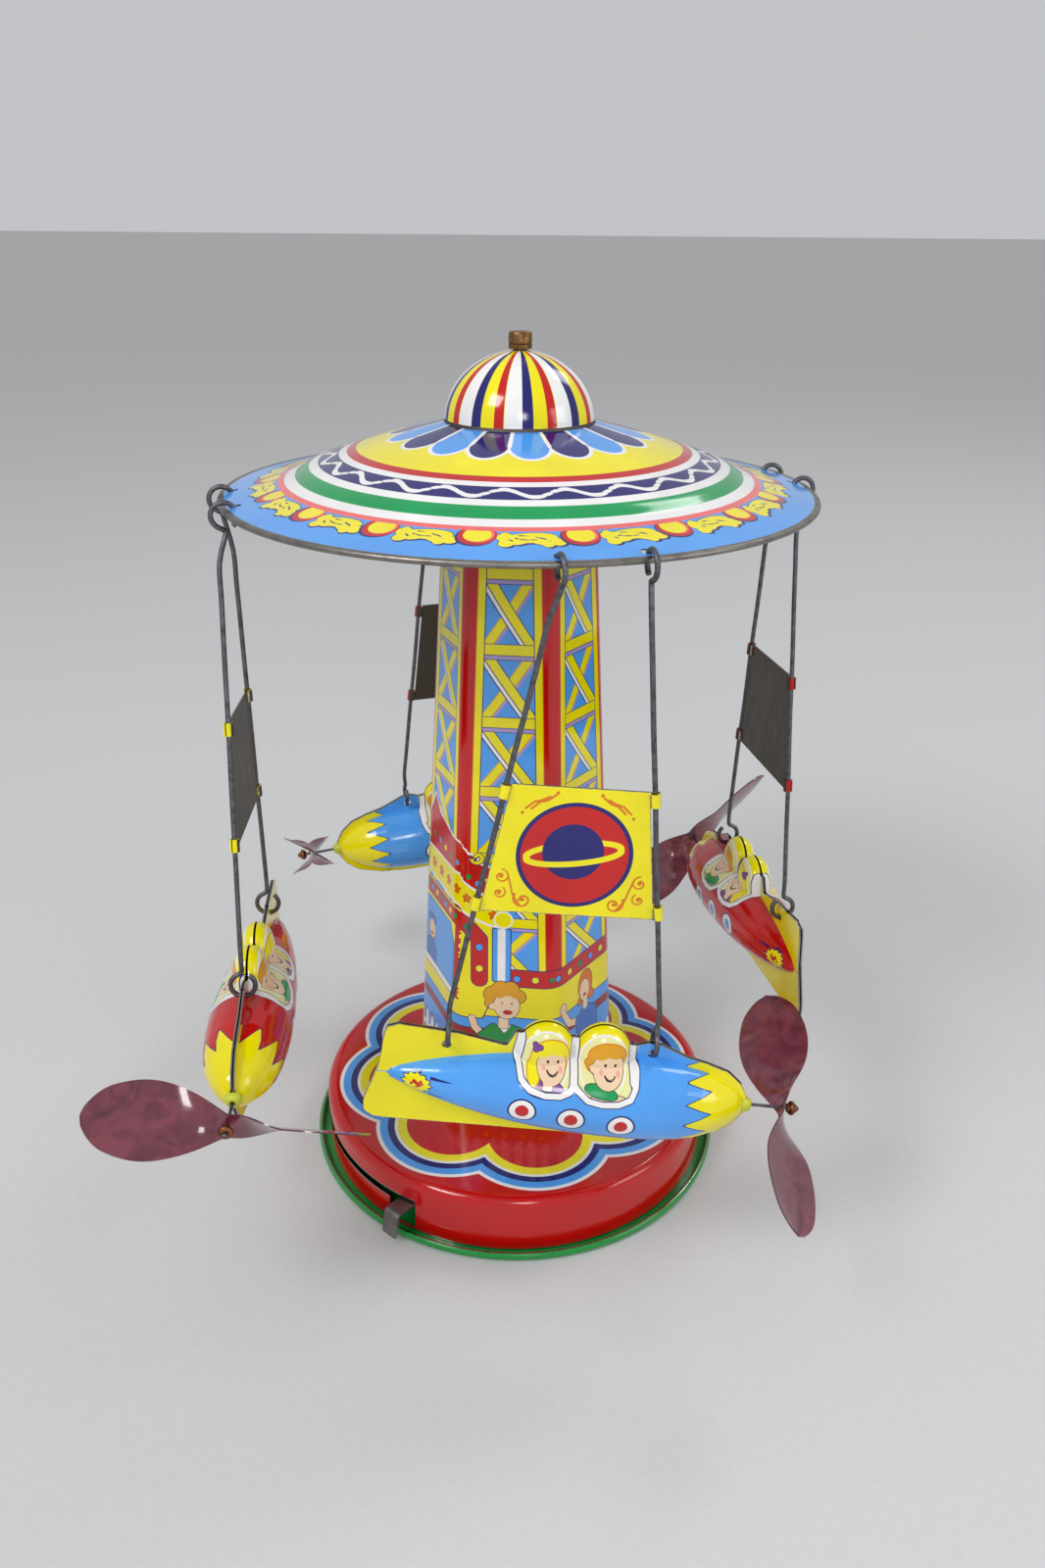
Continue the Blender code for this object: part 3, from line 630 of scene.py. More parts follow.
def move_to(obj: bpy.types.Object, points: np.ndarray) -> None:
    """Put a piece's vertices at these places in mm."""
    obj.data.vertices.foreach_set("co", (np.asarray(points, float) * MM).ravel())
    obj.data.update()


def turned(name: str, section: list[Point], steps: int = 96, angle: float = 360.0) -> bpy.types.Object:
    """Spin a closed section, a ring of vertices laid out to its (radius, height) points, round the Z axis.

    Args:
        name: the piece's name.
        section: the section's outline in mm, closed from its last point to its first.
        steps: how many steps the turn takes.
        angle: how far it is turned, in degrees.

    Returns:
        The turned piece.
    """
    only()
    bpy.ops.mesh.primitive_circle_add(vertices=len(section), radius=MM)
    obj = bpy.context.object
    obj.name = obj.data.name = name
    move_to(obj, [(r, 0.0, z) for r, z in section])
    bpy.ops.object.mode_set(mode="EDIT")
    bpy.ops.mesh.select_all(action="SELECT")
    bpy.ops.mesh.spin(steps=steps, angle=math.radians(angle), center=(0, 0, 0), axis=(0, 0, 1))
    bpy.ops.mesh.select_all(action="SELECT")
    bpy.ops.mesh.remove_doubles(threshold=0.002 * MM)
    bpy.ops.mesh.normals_make_consistent(inside=False)
    bpy.ops.object.mode_set(mode="OBJECT")
    smooth(obj)
    return obj


def sheet(name: str, columns: int, rows: int) -> bpy.types.Object:
    """A flat grid of columns by rows vertices, to be drawn into shape.

    Args:
        name: the piece's name.
        columns: vertices along each row.
        rows: how many rows.

    Returns:
        The grid; vertex number = row * columns + column.
    """
    only()
    bpy.ops.mesh.primitive_grid_add(x_subdivisions=columns - 1, y_subdivisions=rows - 1, size=MM)
    obj = bpy.context.object
    obj.name = obj.data.name = name
    return obj


def smooth(obj: bpy.types.Object, angle: float = 34.0) -> None:
    """Shade a piece smooth, with creases sharper than an angle in degrees kept."""
    only(obj)
    bpy.ops.object.shade_smooth_by_angle(angle=math.radians(angle))


def wall(obj: bpy.types.Object, thickness: float, offset: float = -1.0) -> None:
    """Give a sheet its thickness in mm, inward from its face by default.

    Args:
        obj: the piece.
        thickness: the wall in mm.
        offset: -1 for inward, 0 for both ways.
    """
    only(obj)
    added = obj.modifiers.new("wall", "SOLIDIFY")
    added.thickness, added.offset, added.use_even_offset = thickness * MM, offset, True
    bpy.ops.object.modifier_apply(modifier=added.name)


def rounded(obj: bpy.types.Object, width: float, segments: int = 2) -> None:
    """Break a piece's sharp edges with a small bevel in mm.

    Args:
        obj: the piece.
        width: the bevel in mm.
        segments: faces across the bevel.
    """
    only(obj)
    added = obj.modifiers.new("edge", "BEVEL")
    added.width, added.segments, added.limit_method = width * MM, segments, "ANGLE"
    added.angle_limit = math.radians(32)
    bpy.ops.object.modifier_apply(modifier=added.name)


def laid(obj: bpy.types.Object, frame: Matrix) -> bpy.types.Object:
    """Place a piece by turning its mesh, so its object stays at the origin.

    Args:
        obj: the piece.
        frame: where it is laid.

    Returns:
        The piece.
    """
    obj.data.transform(frame)
    if frame.to_3x3().determinant() < 0:
        obj.data.flip_normals()
    return obj


def copied(obj: bpy.types.Object, name: str, frame: Matrix) -> bpy.types.Object:
    """Copy a piece with a mesh of its own, and lay it in a frame.

    Args:
        obj: the piece.
        name: its name.
        frame: where it is laid.

    Returns:
        The piece.
    """
    made = obj.copy()
    made.data = obj.data.copy()
    made.name = made.data.name = name
    bpy.context.scene.collection.objects.link(made)
    return laid(made, frame)


def fluent(points: list[Vector], per_span: int = 6) -> list[Vector]:
    """Points of a smooth curve through the given ones.

    Args:
        points: the points in mm.
        per_span: points made from each given one.

    Returns:
        The points in mm.
    """
    ends = [points[0] * 2 - points[1]] + points + [points[-1] * 2 - points[-2]]
    made = []
    for a, b, c, d in zip(ends, ends[1:], ends[2:], ends[3:]):
        for i in range(per_span):
            t = i / per_span
            made.append(
                0.5 * (
                    2 * b + (c - a) * t + (
                        2 * a - 5 * b + 4 * c - d
                    ) * t**2 + (3 * b - a - 3 * c + d) * t**3
                )
            )
    return made + [points[-1]]


def rod(name: str, points: list[Vector], radius: float) -> bpy.types.Object:
    """Bend a round wire through points in mm: a curve with a round bevel, made a mesh.

    Args:
        name: the piece's name.
        points: where the wire's axis passes.
        radius: the wire's radius in mm.

    Returns:
        The wire.
    """
    curve = bpy.data.curves.new(name, "CURVE")
    curve.dimensions, curve.bevel_depth, curve.bevel_resolution = "3D", radius * MM, 4
    curve.use_fill_caps = True
    spline = curve.splines.new("POLY")
    spline.points.add(len(points) - 1)
    for spot, point in zip(spline.points, points):
        spot.co = (*(point * MM), 1.0)
    obj = bpy.data.objects.new(name, curve)
    bpy.context.scene.collection.objects.link(obj)
    only(obj)
    bpy.ops.object.convert(target="MESH")
    made = bpy.context.object
    made.name = made.data.name = name
    bpy.ops.object.mode_set(mode="EDIT")
    bpy.ops.mesh.select_all(action="SELECT")
    bpy.ops.mesh.remove_doubles(threshold=0.002 * MM)
    bpy.ops.mesh.normals_make_consistent(inside=False)
    bpy.ops.object.mode_set(mode="OBJECT")
    smooth(made, 50.0)
    return made


def dress(obj: bpy.types.Object, finish: Finish) -> None:
    """Give a whole piece one finish."""
    obj.data.materials.clear()
    obj.data.materials.append(finish.material())


def line_inside(obj: bpy.types.Object, finish: Finish, hidden: np.ndarray) -> None:
    """Give the faces marked as hidden a bare finish, in the second slot; with the darker inside tin this is
    painted shade on faces turned away from the light.
    """
    obj.data.materials.append(finish.material())
    obj.data.polygons.foreach_set("material_index", hidden.astype(np.int32))


def chosen_only(
    obj: bpy.types.Object, vertices: np.ndarray | None = None, faces: np.ndarray | None = None
) -> None:
    """Enter edit mode with just these vertices, and the edges between them, or just these faces selected.

    Args:
        obj: the piece.
        vertices: which vertices.
        faces: which faces.
    """
    only(obj)
    bpy.ops.object.mode_set(mode="EDIT")
    bpy.ops.mesh.select_mode(type="VERT")
    bpy.ops.mesh.select_all(action="DESELECT")
    bpy.ops.mesh.select_mode(type="FACE" if vertices is None else "EDGE")
    bpy.ops.object.mode_set(mode="OBJECT")
    if vertices is None:
        obj.data.polygons.foreach_set("select", faces)
    else:
        ends = np.empty(len(obj.data.edges) * 2, np.int32)
        obj.data.edges.foreach_get("vertices", ends)
        obj.data.edges.foreach_set("select", vertices[ends.reshape(-1, 2)].all(axis=1))
    bpy.ops.object.mode_set(mode="EDIT")


def face_facts(obj: bpy.types.Object) -> tuple[np.ndarray, np.ndarray]:
    """Centres in mm and normals of a piece's faces.

    Args:
        obj: the piece.

    Returns:
        Centres in mm and normals.
    """
    count = len(obj.data.polygons)
    centres, normals = np.empty(count * 3), np.empty(count * 3)
    obj.data.polygons.foreach_get("center", centres)
    obj.data.polygons.foreach_get("normal", normals)
    return centres.reshape(-1, 3) / MM, normals.reshape(-1, 3)


def register(obj: bpy.types.Object, body: str, slot: str, *nodes: str) -> bpy.types.Object:
    """Let a finished piece ride on its body and stand for CAD nodes.

    Args:
        obj: the piece.
        body: the body it rides on.
        slot: not used.
        nodes: the CAD nodes it stands for.

    Returns:
        The piece.
    """
    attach(obj, body)
    if nodes:
        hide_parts(*nodes)
    LOG.info("%s on %s: %d faces", obj.name, body, len(obj.data.polygons))
    return obj


def azimuth(points: np.ndarray) -> Field:
    """Angle in degrees round Z from -Y towards +X."""
    return np.degrees(np.arctan2(points[:, 0], -points[:, 1]))


def wrap(angle: Field, period: float) -> Field:
    """An angle brought within half a period of nought."""
    return (angle + period / 2) % period - period / 2


def arc(x: float, y: float, r: float, start: float, end: float, count: int) -> list[Point]:
    """Points along an arc, angles in degrees counted from +X."""
    turns = [math.radians(start + (end - start) * i / count) for i in range(count + 1)]
    return [(x + r * math.cos(a), y + r * math.sin(a)) for a in turns]


def between(a: Point, b: Point, step: float) -> list[Point]:
    """Points from a towards b, a step apart, without b."""
    count = max(1, round(math.dist(a, b) / step))
    return [(a[0] + (b[0] - a[0]) * i / count, a[1] + (b[1] - a[1]) * i / count) for i in range(count)]


def chain(points: list[Point], step: float) -> list[Point]:
    """The bent line through points, with points a step apart.

    Args:
        points: the points in mm.
        step: the spacing in mm.

    Returns:
        The points in mm.
    """
    made: list[Point] = []
    for a, b in zip(points, points[1:]):
        made += between(a, b, step)
    return made + [points[-1]]


# ------------------------------------------------------------------ base


@dataclass
class Base:
    """Drum with its printed flower, and the green bottom plate whose rim is rolled round its foot."""

    shoulder: float = 3.2
    wall: float = 0.6
    bead: float = 0.85
    slot_low: float = 10.6
    slot_high: float = 13.2
    slot_from: float = -96.0
    slot_to: float = -28.5
    door_from: float = -37.5
    door_to: float = -28.5
    door_top: float = 11.9
    lobes: int = 8
    lobe_turn: float = 10.5
    lobe_at: float = 38.0
    lobe_r: float = 27.0
    steps: int = 480

    def build(self) -> None:
        """Build and dress both pressings."""
        self.drum()
        self.plate()

    def drum(self) -> None:
        """Draw the drum from one sheet, cut the lever's slot and door, and print it."""
        low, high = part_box("base_drum")
        outer, top, foot = high.x / MM, high.z / MM, low.z / MM
        rad = self.shoulder
        wall_rows = chain(
            [
                (outer, foot), (outer, 1.6), (outer, self.slot_low), (outer, self.door_top),
                (outer, self.slot_high), (outer, top - rad)
            ],
            1.2
        )
        shoulder = arc(outer - rad, top - rad, rad, 0, 90, 10)[1:]
        deck = chain([(outer - rad, top), (30.0, top)], 0.85)[1:] + [(26.0, top), (14.0, top), (6.2, top)]
        drum = self.skin("drum_pressing", wall_rows + shoulder + deck)
        centres, _ = face_facts(drum)
        az, r, z = azimuth(centres), np.hypot(centres[:, 0], centres[:, 1]), centres[:, 2]
        side = r > outer - 1.0
        slot = side & (z > self.slot_low) & (z < self.slot_high) & (az > self.slot_from) & (az < self.slot_to)
        door = side & (z > 1.6) & (z < self.door_top) & (az > self.door_from) & (az < self.door_to)
        self.cut_away(drum, slot | door)
        wall(drum, self.wall)
        smooth(drum, 40)
        self.print_drum(drum, outer, foot)
        register(drum, "stand", "tin_red", "base_drum")

    def skin(self, name: str, profile: list[Point]) -> bpy.types.Object:
        """Spin an open profile to a single skin facing out.

        Args:
            name: its name.
            profile: radius and height of each point.

        Returns:
            The piece.
        """
        obj = sheet(name, len(profile), 2)
        row = np.array([(r, 0.0, z) for r, z in profile])
        move_to(obj, np.vstack([row, row]))
        bpy.ops.object.mode_set(mode="EDIT")
        bpy.ops.mesh.select_all(action="SELECT")
        bpy.ops.mesh.delete(type="ONLY_FACE")
        bpy.ops.mesh.select_all(action="SELECT")
        bpy.ops.mesh.remove_doubles(threshold=0.002 * MM)
        bpy.ops.mesh.select_all(action="SELECT")
        bpy.ops.mesh.spin(steps=self.steps, angle=math.tau, center=(0, 0, 0), axis=(0, 0, 1))
        bpy.ops.mesh.select_all(action="SELECT")
        bpy.ops.mesh.remove_doubles(threshold=0.002 * MM)
        bpy.ops.mesh.normals_make_consistent(inside=False)
        bpy.ops.object.mode_set(mode="OBJECT")
        _, normals = face_facts(obj)
        if normals[:, 2].mean() < 0:
            obj.data.flip_normals()
        return obj

    def cut_away(self, obj: bpy.types.Object, gone: np.ndarray) -> None:
        """Delete the faces marked as gone.

        Args:
            obj: the piece.
            gone: which faces go.
        """
        chosen_only(obj, faces=gone)
        bpy.ops.mesh.delete(type="FACE")
        bpy.ops.mesh.select_mode(type="VERT")
        bpy.ops.object.mode_set(mode="OBJECT")

    def print_drum(self, drum: bpy.types.Object, outer: float, foot: float) -> None:
        """Print the eight-lobed flower in bands of ink on the red drum.

        Args:
            drum: the drum.
            outer: its radius in mm.
            foot: its lower edge in mm.
        """
        points = places(drum)
        az, r, z = azimuth(points), np.hypot(points[:, 0], points[:, 1]), points[:, 2]
        turn = np.radians(wrap(az - self.lobe_turn, 360 / self.lobes))
        side = np.maximum(0.0, 20.0 - z) * 3
        flower = disc(r * np.sin(turn), r * np.cos(turn), 0.0, self.lobe_at, self.lobe_r) + side
        art = Artwork(drum, Ink.RED)
        bands = (
            (Ink.WHITE, 0.0), (Ink.SKY, 1.3), (Ink.NAVY, 4.0), (Ink.WHITE, 6.4), (Ink.YELLOW, 7.4),
            (Ink.RED, 10.6)
        )
        for ink, inset in bands:
            art.lay(ink, flower + inset)
        edge = np.minimum(z - foot, np.abs(z - 1.0) + 1.0)
        slot_edge = np.minimum(np.abs(z - self.slot_low), np.abs(z - self.slot_high))
        along = (az > self.slot_from - 0.5) & (az < self.slot_to + 0.5) & (r > outer - 2)
        edge = np.where(along, np.minimum(edge, slot_edge), edge)
        art.finish("red_litho_tin_flower", edge, 0.5)
        # Inward faces take the darker inside tin: painted shade inside the drum.
        centres, normals = face_facts(drum)
        flat = centres[:, :2] / (np.linalg.norm(centres[:, :2], axis=1, keepdims=True) + 1e-9)
        outward = (normals[:, :2] * flat).sum(axis=1) + normals[:, 2]
        line_inside(drum, INSIDE_SHADE_TIN, outward < -0.2)

    def plate(self) -> None:
        """Turn the bottom plate with its rolled rim, and dress it."""
        low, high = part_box("base_plate")
        outer, top = high.x / MM, high.z / MM
        b = self.bead
        section = [(0.0, 0.0)] + chain([(20.0, 0.0), (outer - 1.2, 0.0)], 6.0)
        section += arc(outer - 1.2, 1.2, 1.2, -90, 0, 6)[1:] + arc(outer - b, top - b, b, 0, 180, 12)
        section += [(outer - 1.75, 1.0), (outer - 2.0, 0.6), (40.0, 0.6), (0.0, 0.6)]
        plate = turned("bottom_plate", section, 288)
        points = places(plate)
        r = np.hypot(points[:, 0], points[:, 1])
        art = Artwork(plate, Ink.GREEN)
        art.lay(Ink.GREEN, r - 30.0)
        art.finish("green_litho_tin", np.hypot(r - (outer - b), points[:, 2] - top) + 0.12, 0.42)
        register(plate, "stand", "tin_green", "base_plate")


# ------------------------------------------------------------------ tower


@dataclass
class Tower:
    """Six-sided tapering tube, printed as a lattice mast with a booth and waving children at its foot."""

    foot_r: float = 36.9
    top_r: float = 24.7
    turn: float = -6.6
    corner: float = 0.16
    wall: float = 0.6
    strip: float = 3.3
    border: float = 2.4
    pitch: float = 22.9
    first_bar: float = 100.7
    step: float = 0.72

    def build(self) -> None:
        """Shape the tube from a sheet and print it."""
        low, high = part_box("tower_tube")
        self.low, self.high = low.z / MM, high.z / MM
        rows = round((self.high - self.low) / self.step)
        ring = self.ring_shape()
        heights = np.linspace(self.low, self.high, rows)
        tube = sheet("tower_tube_sheet", len(ring) + 1, rows + 2)
        closed = np.vstack([ring, ring[:1]])
        layers = [self.at(closed, z, 0.0) for z in heights]
        layers += [self.at(closed, self.high, self.wall), self.at(closed, self.low, self.wall)]
        move_to(tube, np.vstack(layers))
        only(tube)
        bpy.ops.object.mode_set(mode="EDIT")
        bpy.ops.mesh.select_all(action="SELECT")
        bpy.ops.mesh.remove_doubles(threshold=0.002 * MM)
        bpy.ops.object.mode_set(mode="OBJECT")
        self.close_foot(tube)
        smooth(tube, 40)
        self.print(tube)
        register(tube, "stand", "tin_tower", "tower_tube")

    def ring_shape(self) -> np.ndarray:
        """Corner-rounded hexagon of unit size, from face to face.

        Returns:
            The points in mm.
        """
        points = []
        for side in range(6):
            hub = [math.radians(self.turn + 30 + 60 * (side + k)) for k in (-1, 0, 1)]
            before, here, after = ((math.sin(a), -math.cos(a)) for a in hub)
            mix = lambda p, q, t: (p[0] + (q[0] - p[0]) * t, p[1] + (q[1] - p[1]) * t)
            start, end = mix(here, before, self.corner), mix(here, after, self.corner)
            last_end = mix(before, here, self.corner)
            points += [mix(last_end, start, i / 34) for i in range(34)]
            for i in range(12):
                t = i / 12
                points.append(mix(mix(start, here, t), mix(here, end, t), t))
        return np.array(points)

    def at(self, ring: np.ndarray, z: float, inset: float) -> np.ndarray:
        """The ring at a height, drawn in by an inset in mm.

        Args:
            ring: the outline, of unit size.
            z: height in mm.
            inset: how far it is drawn in, in mm.

        Returns:
            The placed ring in mm.
        """
        share = (z - self.low) / (self.high - self.low)
        radius = self.foot_r + (self.top_r - self.foot_r) * share - inset / math.cos(math.radians(30))
        return np.column_stack([ring * radius, np.full(len(ring), z)])

    def close_foot(self, tube: bpy.types.Object) -> None:
        """Bridge the outer and inner edge at the foot and turn the faces out.

        Args:
            tube: the tower sheet.
        """
        points = places(tube)
        chosen_only(tube, vertices=points[:, 2] < self.low + 0.01)
        bpy.ops.mesh.bridge_edge_loops()
        bpy.ops.mesh.select_all(action="SELECT")
        bpy.ops.mesh.normals_make_consistent(inside=False)
        bpy.ops.object.mode_set(mode="OBJECT")

    def print(self, tube: bpy.types.Object) -> None:
        """Print the mast, the booth and the children, face by face.

        Args:
            tube: the tower sheet.
        """
        points = places(tube)
        z = points[:, 2]
        radius = self.foot_r + (self.top_r - self.foot_r) * (z - self.low) / (self.high - self.low)
        az = azimuth(points) - self.turn
        face = np.round(az / 60).astype(int) % 6
        off = np.radians(wrap(az, 60))
        u = radius * math.cos(math.radians(30)) * np.tan(off)
        half = radius / 2
        art = Artwork(tube, Ink.SKY)
        self.mast(art, u, z, half)
        self.bands(art, u, z, half)
        self.booth(art, u, z, face)
        self.children(art, u, z, face)
        art.finish("lattice_litho_tin", np.minimum(z - self.low, self.high - z) + 0.4, 0.35)

    def mast(self, art: Artwork, u: Field, z: Field, half: Field) -> None:
        """Braces, cross bars, borders and the red corner strips.

        Args:
            art: the print.
            u: place across the sheet in mm.
            z: height in mm.
            half: half the face at each height.
        """
        panel = half - self.strip - self.border
        cell = wrap(z - self.first_bar - self.pitch / 2, self.pitch)
        lean = 2 * panel / np.hypot(2 * panel, self.pitch)
        falling = (cell + u / panel * (self.pitch / 2)) * lean
        rising = (cell - u / panel * (self.pitch / 2)) * lean
        bar_off = wrap(z - self.first_bar, self.pitch)
        art.lay(Ink.LILAC, np.abs(rising + 1.3) - 1.0)
        art.lay(Ink.YELLOW, np.abs(rising) - 1.25, Ink.GOLD, 0.25)
        art.lay(Ink.WHITE, np.abs(falling + 2.15) - 0.5, Ink.NAVY, 0.35)
        art.lay(Ink.YELLOW, np.abs(falling) - 1.35, Ink.NAVY, 0.3)
        art.lay(Ink.LILAC, np.abs(bar_off + 2.3) - 0.7, Ink.NAVY, 0.2)
        art.lay(Ink.YELLOW, np.abs(bar_off) - 1.6, Ink.NAVY, 0.25)
        art.lay(Ink.YELLOW, panel - np.abs(u), Ink.NAVY, 0.3)
        art.lay(Ink.RED, half - self.strip - np.abs(u), Ink.GOLD, 0.25)

    def bands(self, art: Artwork, u: Field, z: Field, half: Field) -> None:
        """The counter round the foot: dotted red, yellow, blue, and a picket fence below.

        Args:
            art: the print.
            u: place across the sheet in mm.
            z: height in mm.
            half: not used.
        """
        art.lay(Ink.RED, z - 83.2, Ink.NAVY, 0.4)
        for ink, first in ((Ink.YELLOW, -8.8), (Ink.GREEN, -2.6), (Ink.SKY, 3.6)):
            spots = [disc(u, z, first + k * 18.6, 79.9, 1.15) for k in (-1, 0, 1)]
            art.lay(ink, union(*spots), Ink.NAVY, 0.25)
        art.lay(Ink.YELLOW, z - 76.7, Ink.NAVY, 0.35)
        art.lay(Ink.SKY, z - 64.7, Ink.NAVY, 0.35)
        art.lay(Ink.DEEP_RED, z - 59.8, Ink.NAVY, 0.3)
        art.lay(Ink.SKY, z - 56.6)
        post = wrap(u, 4.8)
        picket = union(
            slab(post, z, 0.0, 38.0, 1.5, 10.0, 0.4),
            patch(post, z, [(-1.5, 47.6), (1.5, 47.6), (0.0, 50.6)])
        )
        rails = union(np.abs(z - 33.5) - 1.1, np.abs(z - 43.5) - 1.1)
        art.lay(Ink.WHITE, union(picket, rails), Ink.NAVY, 0.3)
        art.lay(Ink.LEAF, z - 29.5 - 0.9 * np.sin(u * 1.9), Ink.NAVY, 0.3)
        blooms = union(*[disc(u, z, x, 27.2, 1.2) for x in (-13, -6.5, 0, 6.5, 13)])
        art.lay(Ink.YELLOW, blooms, Ink.RED, 0.45)

    def booth(self, art: Artwork, u: Field, z: Field, face: np.ndarray) -> None:
        """A ticket booth round the corner between two faces, with a curly roof and a starred sign.

        Args:
            art: the print.
            u: place across the sheet in mm.
            z: height in mm.
            face: number of the face at each vertex.
        """
        away = 60.0
        on = {0: np.where(face == 0, 0.0, away), 5: np.where(face == 5, 0.0, away)}
        left, front = on[5], on[0]
        wall_left = patch(u, z, [(-18, 64), (-18, 104), (18, 104), (18, 64)]) + left
        wall_front = patch(u, z, [(-18, 64), (-18, 104), (-3, 98), (-3, 76.7), (-8, 64)]) + front
        art.lay(Ink.YELLOW, union(wall_left, wall_front), Ink.NAVY, 0.4)
        pane = patch(u, z, [(-16, 72), (-16, 90), (-12, 96), (10, 96), (13, 90), (13, 72)]) + left
        art.lay(Ink.SKY, pane, Ink.NAVY, 0.4)
        frame_left = inside_both(np.abs(slab(u, z, -1.0, 84.0, 17.5, 16.5, 3.0)) - 2.6, -(z - 70.0)) + left
        frame_front = line(u, z, [(-19, 103.0), (-12, 97.5), (-9.0, 94), (-9.0, 79.0)], 2.6) + front
        art.lay(Ink.RED, union(frame_left, frame_front), Ink.NAVY, 0.35)
        lamps = [(-13.2, 98.2), (-9.0, 91.0), (-9.0, 83.0)]
        for ink, k in ((Ink.GREEN, 0), (Ink.SKY, 1), (Ink.YELLOW, 2)):
            spots = disc(u, z, *lamps[k], 1.2) + front
            more = union(*[disc(u, z, -12.0 + 4.2 * (3 * i + k), 100.6, 1.1) for i in range(3)]) + left
            art.lay(ink, union(spots, more), Ink.NAVY, 0.2)
        post = slab(u, z, -1.6, 88.5, 2.9, 9.8) + front
        art.lay(Ink.SKY, post, Ink.NAVY, 0.35)
        art.lay(Ink.WHITE, slab(u, z, -1.6, 88.5, 1.3, 9.8) + front)
        roof_front = patch(
            u, z,
            [
                (-19, 108), (-19, 127), (-14.0, 125.5), (-10.5, 121.5), (-7.0, 120.5), (-5.6, 116),
                (-2.4, 113.6), (-1.4, 108.5), (-3.2, 104)
            ]
        ) + front
        bumps = union(
            disc(u, z, -12.2, 121.6, 2.6), disc(u, z, -7.4, 118.0, 2.6), disc(u, z, -3.4, 111.8, 2.4)
        ) + front
        roof_left = patch(
            u, z,
            [(-19, 108), (-16, 124), (-10, 131), (-7.4, 136), (-3, 131), (8, 128), (19, 127), (19, 108)]
        ) + left
        art.lay(Ink.RED, union(roof_front, bumps, roof_left), Ink.WHITE, 0.75)
        swirl = union(
            curl(u, z, -9.6, 123.6, 2.4, 200, 330, 0.5), curl(u, z, -4.9, 116.6, 2.2, 200, 330, 0.45)
        ) + front
        art.lay(Ink.YELLOW, swirl, Ink.NAVY, 0.25)
        beads = [(-15.6, 119.5), (-12.6, 116.4), (-9.4, 114.2), (-6.4, 111.4), (-4.0, 107.8)]
        side_beads = [(-12, 119.0), (-7, 121.4), (-2, 121.4), (3, 120.8), (8, 120.4), (13, 120.2)]
        for k, ink in enumerate((Ink.YELLOW, Ink.GREEN, Ink.SKY)):
            spots = union(*[disc(u, z, x, y, 1.05) for x, y in beads[k::3]]) + front
            art.lay(ink, union(spots, union(*[disc(u, z, x, y, 1.05) for x, y in side_beads[k::3]]) + left))
        sign_front = patch(
            u, z, [(-19, 105.8), (-19, 116.4), (-2.6, 107.0), (-2.0, 99.2), (-6.0, 99.8)]
        ) + front
        sign_left = patch(u, z, [(-19, 106.6), (-19, 115.2), (19, 116.4), (19, 105.8)]) + left
        art.lay(Ink.YELLOW, union(sign_front, sign_left), Ink.WHITE, 0.8)
        stars = union(
            *[self.star(u, z, x, y, 2.0) for x, y in ((-13.4, 108.6), (-8.4, 106.0), (-4.3, 103.2))]
        ) + front
        side_stars = union(*[self.star(u, z, x, 110.8, 2.3) for x in (-13.5, -6.8, 0.0, 6.8, 13.5)]) + left
        art.lay(Ink.ORANGE, union(stars, side_stars), Ink.RED, 0.2)
        art.lay(Ink.YELLOW, disc(u, z, -1.1, 101.6, 2.7) + front, Ink.WHITE, 0.55)

    def star(self, u: Field, v: Field, x: float, y: float, r: float) -> Field:
        """A five-pointed star about a centre.

        Args:
            u: place across the sheet in mm.
            v: place up the sheet in mm.
            x: the middle, across.
            y: the middle, up.
            r: radius in mm.

        Returns:
            Signed distance in mm.
        """
        tips = []
        for k in range(10):
            a, reach = math.radians(90 + 36 * k), r if k % 2 == 0 else r * 0.45
            tips.append((x + reach * math.cos(a), y + reach * math.sin(a)))
        return patch(u, v, tips)

    def children(self, art: Artwork, u: Field, z: Field, face: np.ndarray) -> None:
        """Simple waving children: a fair one, a red-haired one between, and an usher in the booth.

        Args:
            art: the print.
            u: place across the sheet in mm.
            z: height in mm.
            face: number of the face at each vertex.
        """
        fair = np.where((face == 0) | (face == 2), 0.0, 60.0)
        ginger = np.where((face == 1) | (face == 3) | (face == 4), 0.0, 60.0)
        usher = np.where(face == 5, 0.0, 60.0)
        arm = line(u, z, [(-7.6, 57.0), (-10.6, 60.4), (-11.6, 63.8)], 1.2) + fair
        art.lay(Ink.SKIN, arm, Ink.BLACK, 0.25)
        shirt = patch(
            u, z,
            [
                (-7.4, 50), (-9.6, 57.6), (-4.4, 62.2), (-1.2, 60.2), (2.6, 62.0), (8.2, 59.4), (9.8, 54),
                (8.6, 50)
            ]
        )
        art.lay(Ink.GREEN, shirt + fair, Ink.BLACK, 0.3)
        art.lay(
            Ink.WHITE, patch(u, z, [(-3.6, 62.4), (-0.4, 58.4), (2.2, 62.4), (-0.6, 60.6)]) + fair,
            Ink.BLACK, 0.2
        )
        art.lay(Ink.SKIN, slab(u, z, -0.8, 62.6, 1.7, 2.2, 0.8) + fair, Ink.BLACK, 0.2)
        hair = union(
            disc(u, z, -4.4, 73.4, 3.1), disc(u, z, -1.8, 75.8, 2.9), disc(u, z, 1.6, 75.9, 2.8),
            disc(u, z, 4.2, 73.2, 2.5), disc(u, z, -5.2, 70.0, 1.9)
        )
        art.lay(Ink.GOLD, hair + fair, Ink.BLACK, 0.25)
        art.lay(
            Ink.SKIN, union(oval(u, z, 0.3, 69.4, 4.4, 5.0), disc(u, z, -4.6, 68.8, 1.2)) + fair, Ink.BLACK,
            0.22
        )
        fringe = union(disc(u, z, -2.2, 74.2, 2.1), disc(u, z, 0.6, 75.0, 1.9), disc(u, z, 3.2, 73.8, 1.5))
        art.lay(Ink.GOLD, fringe + fair)
        wave = line(u, z, [(-4.4, 58.0), (-9.8, 59.8), (-12.6, 64.8)], 1.25) + ginger
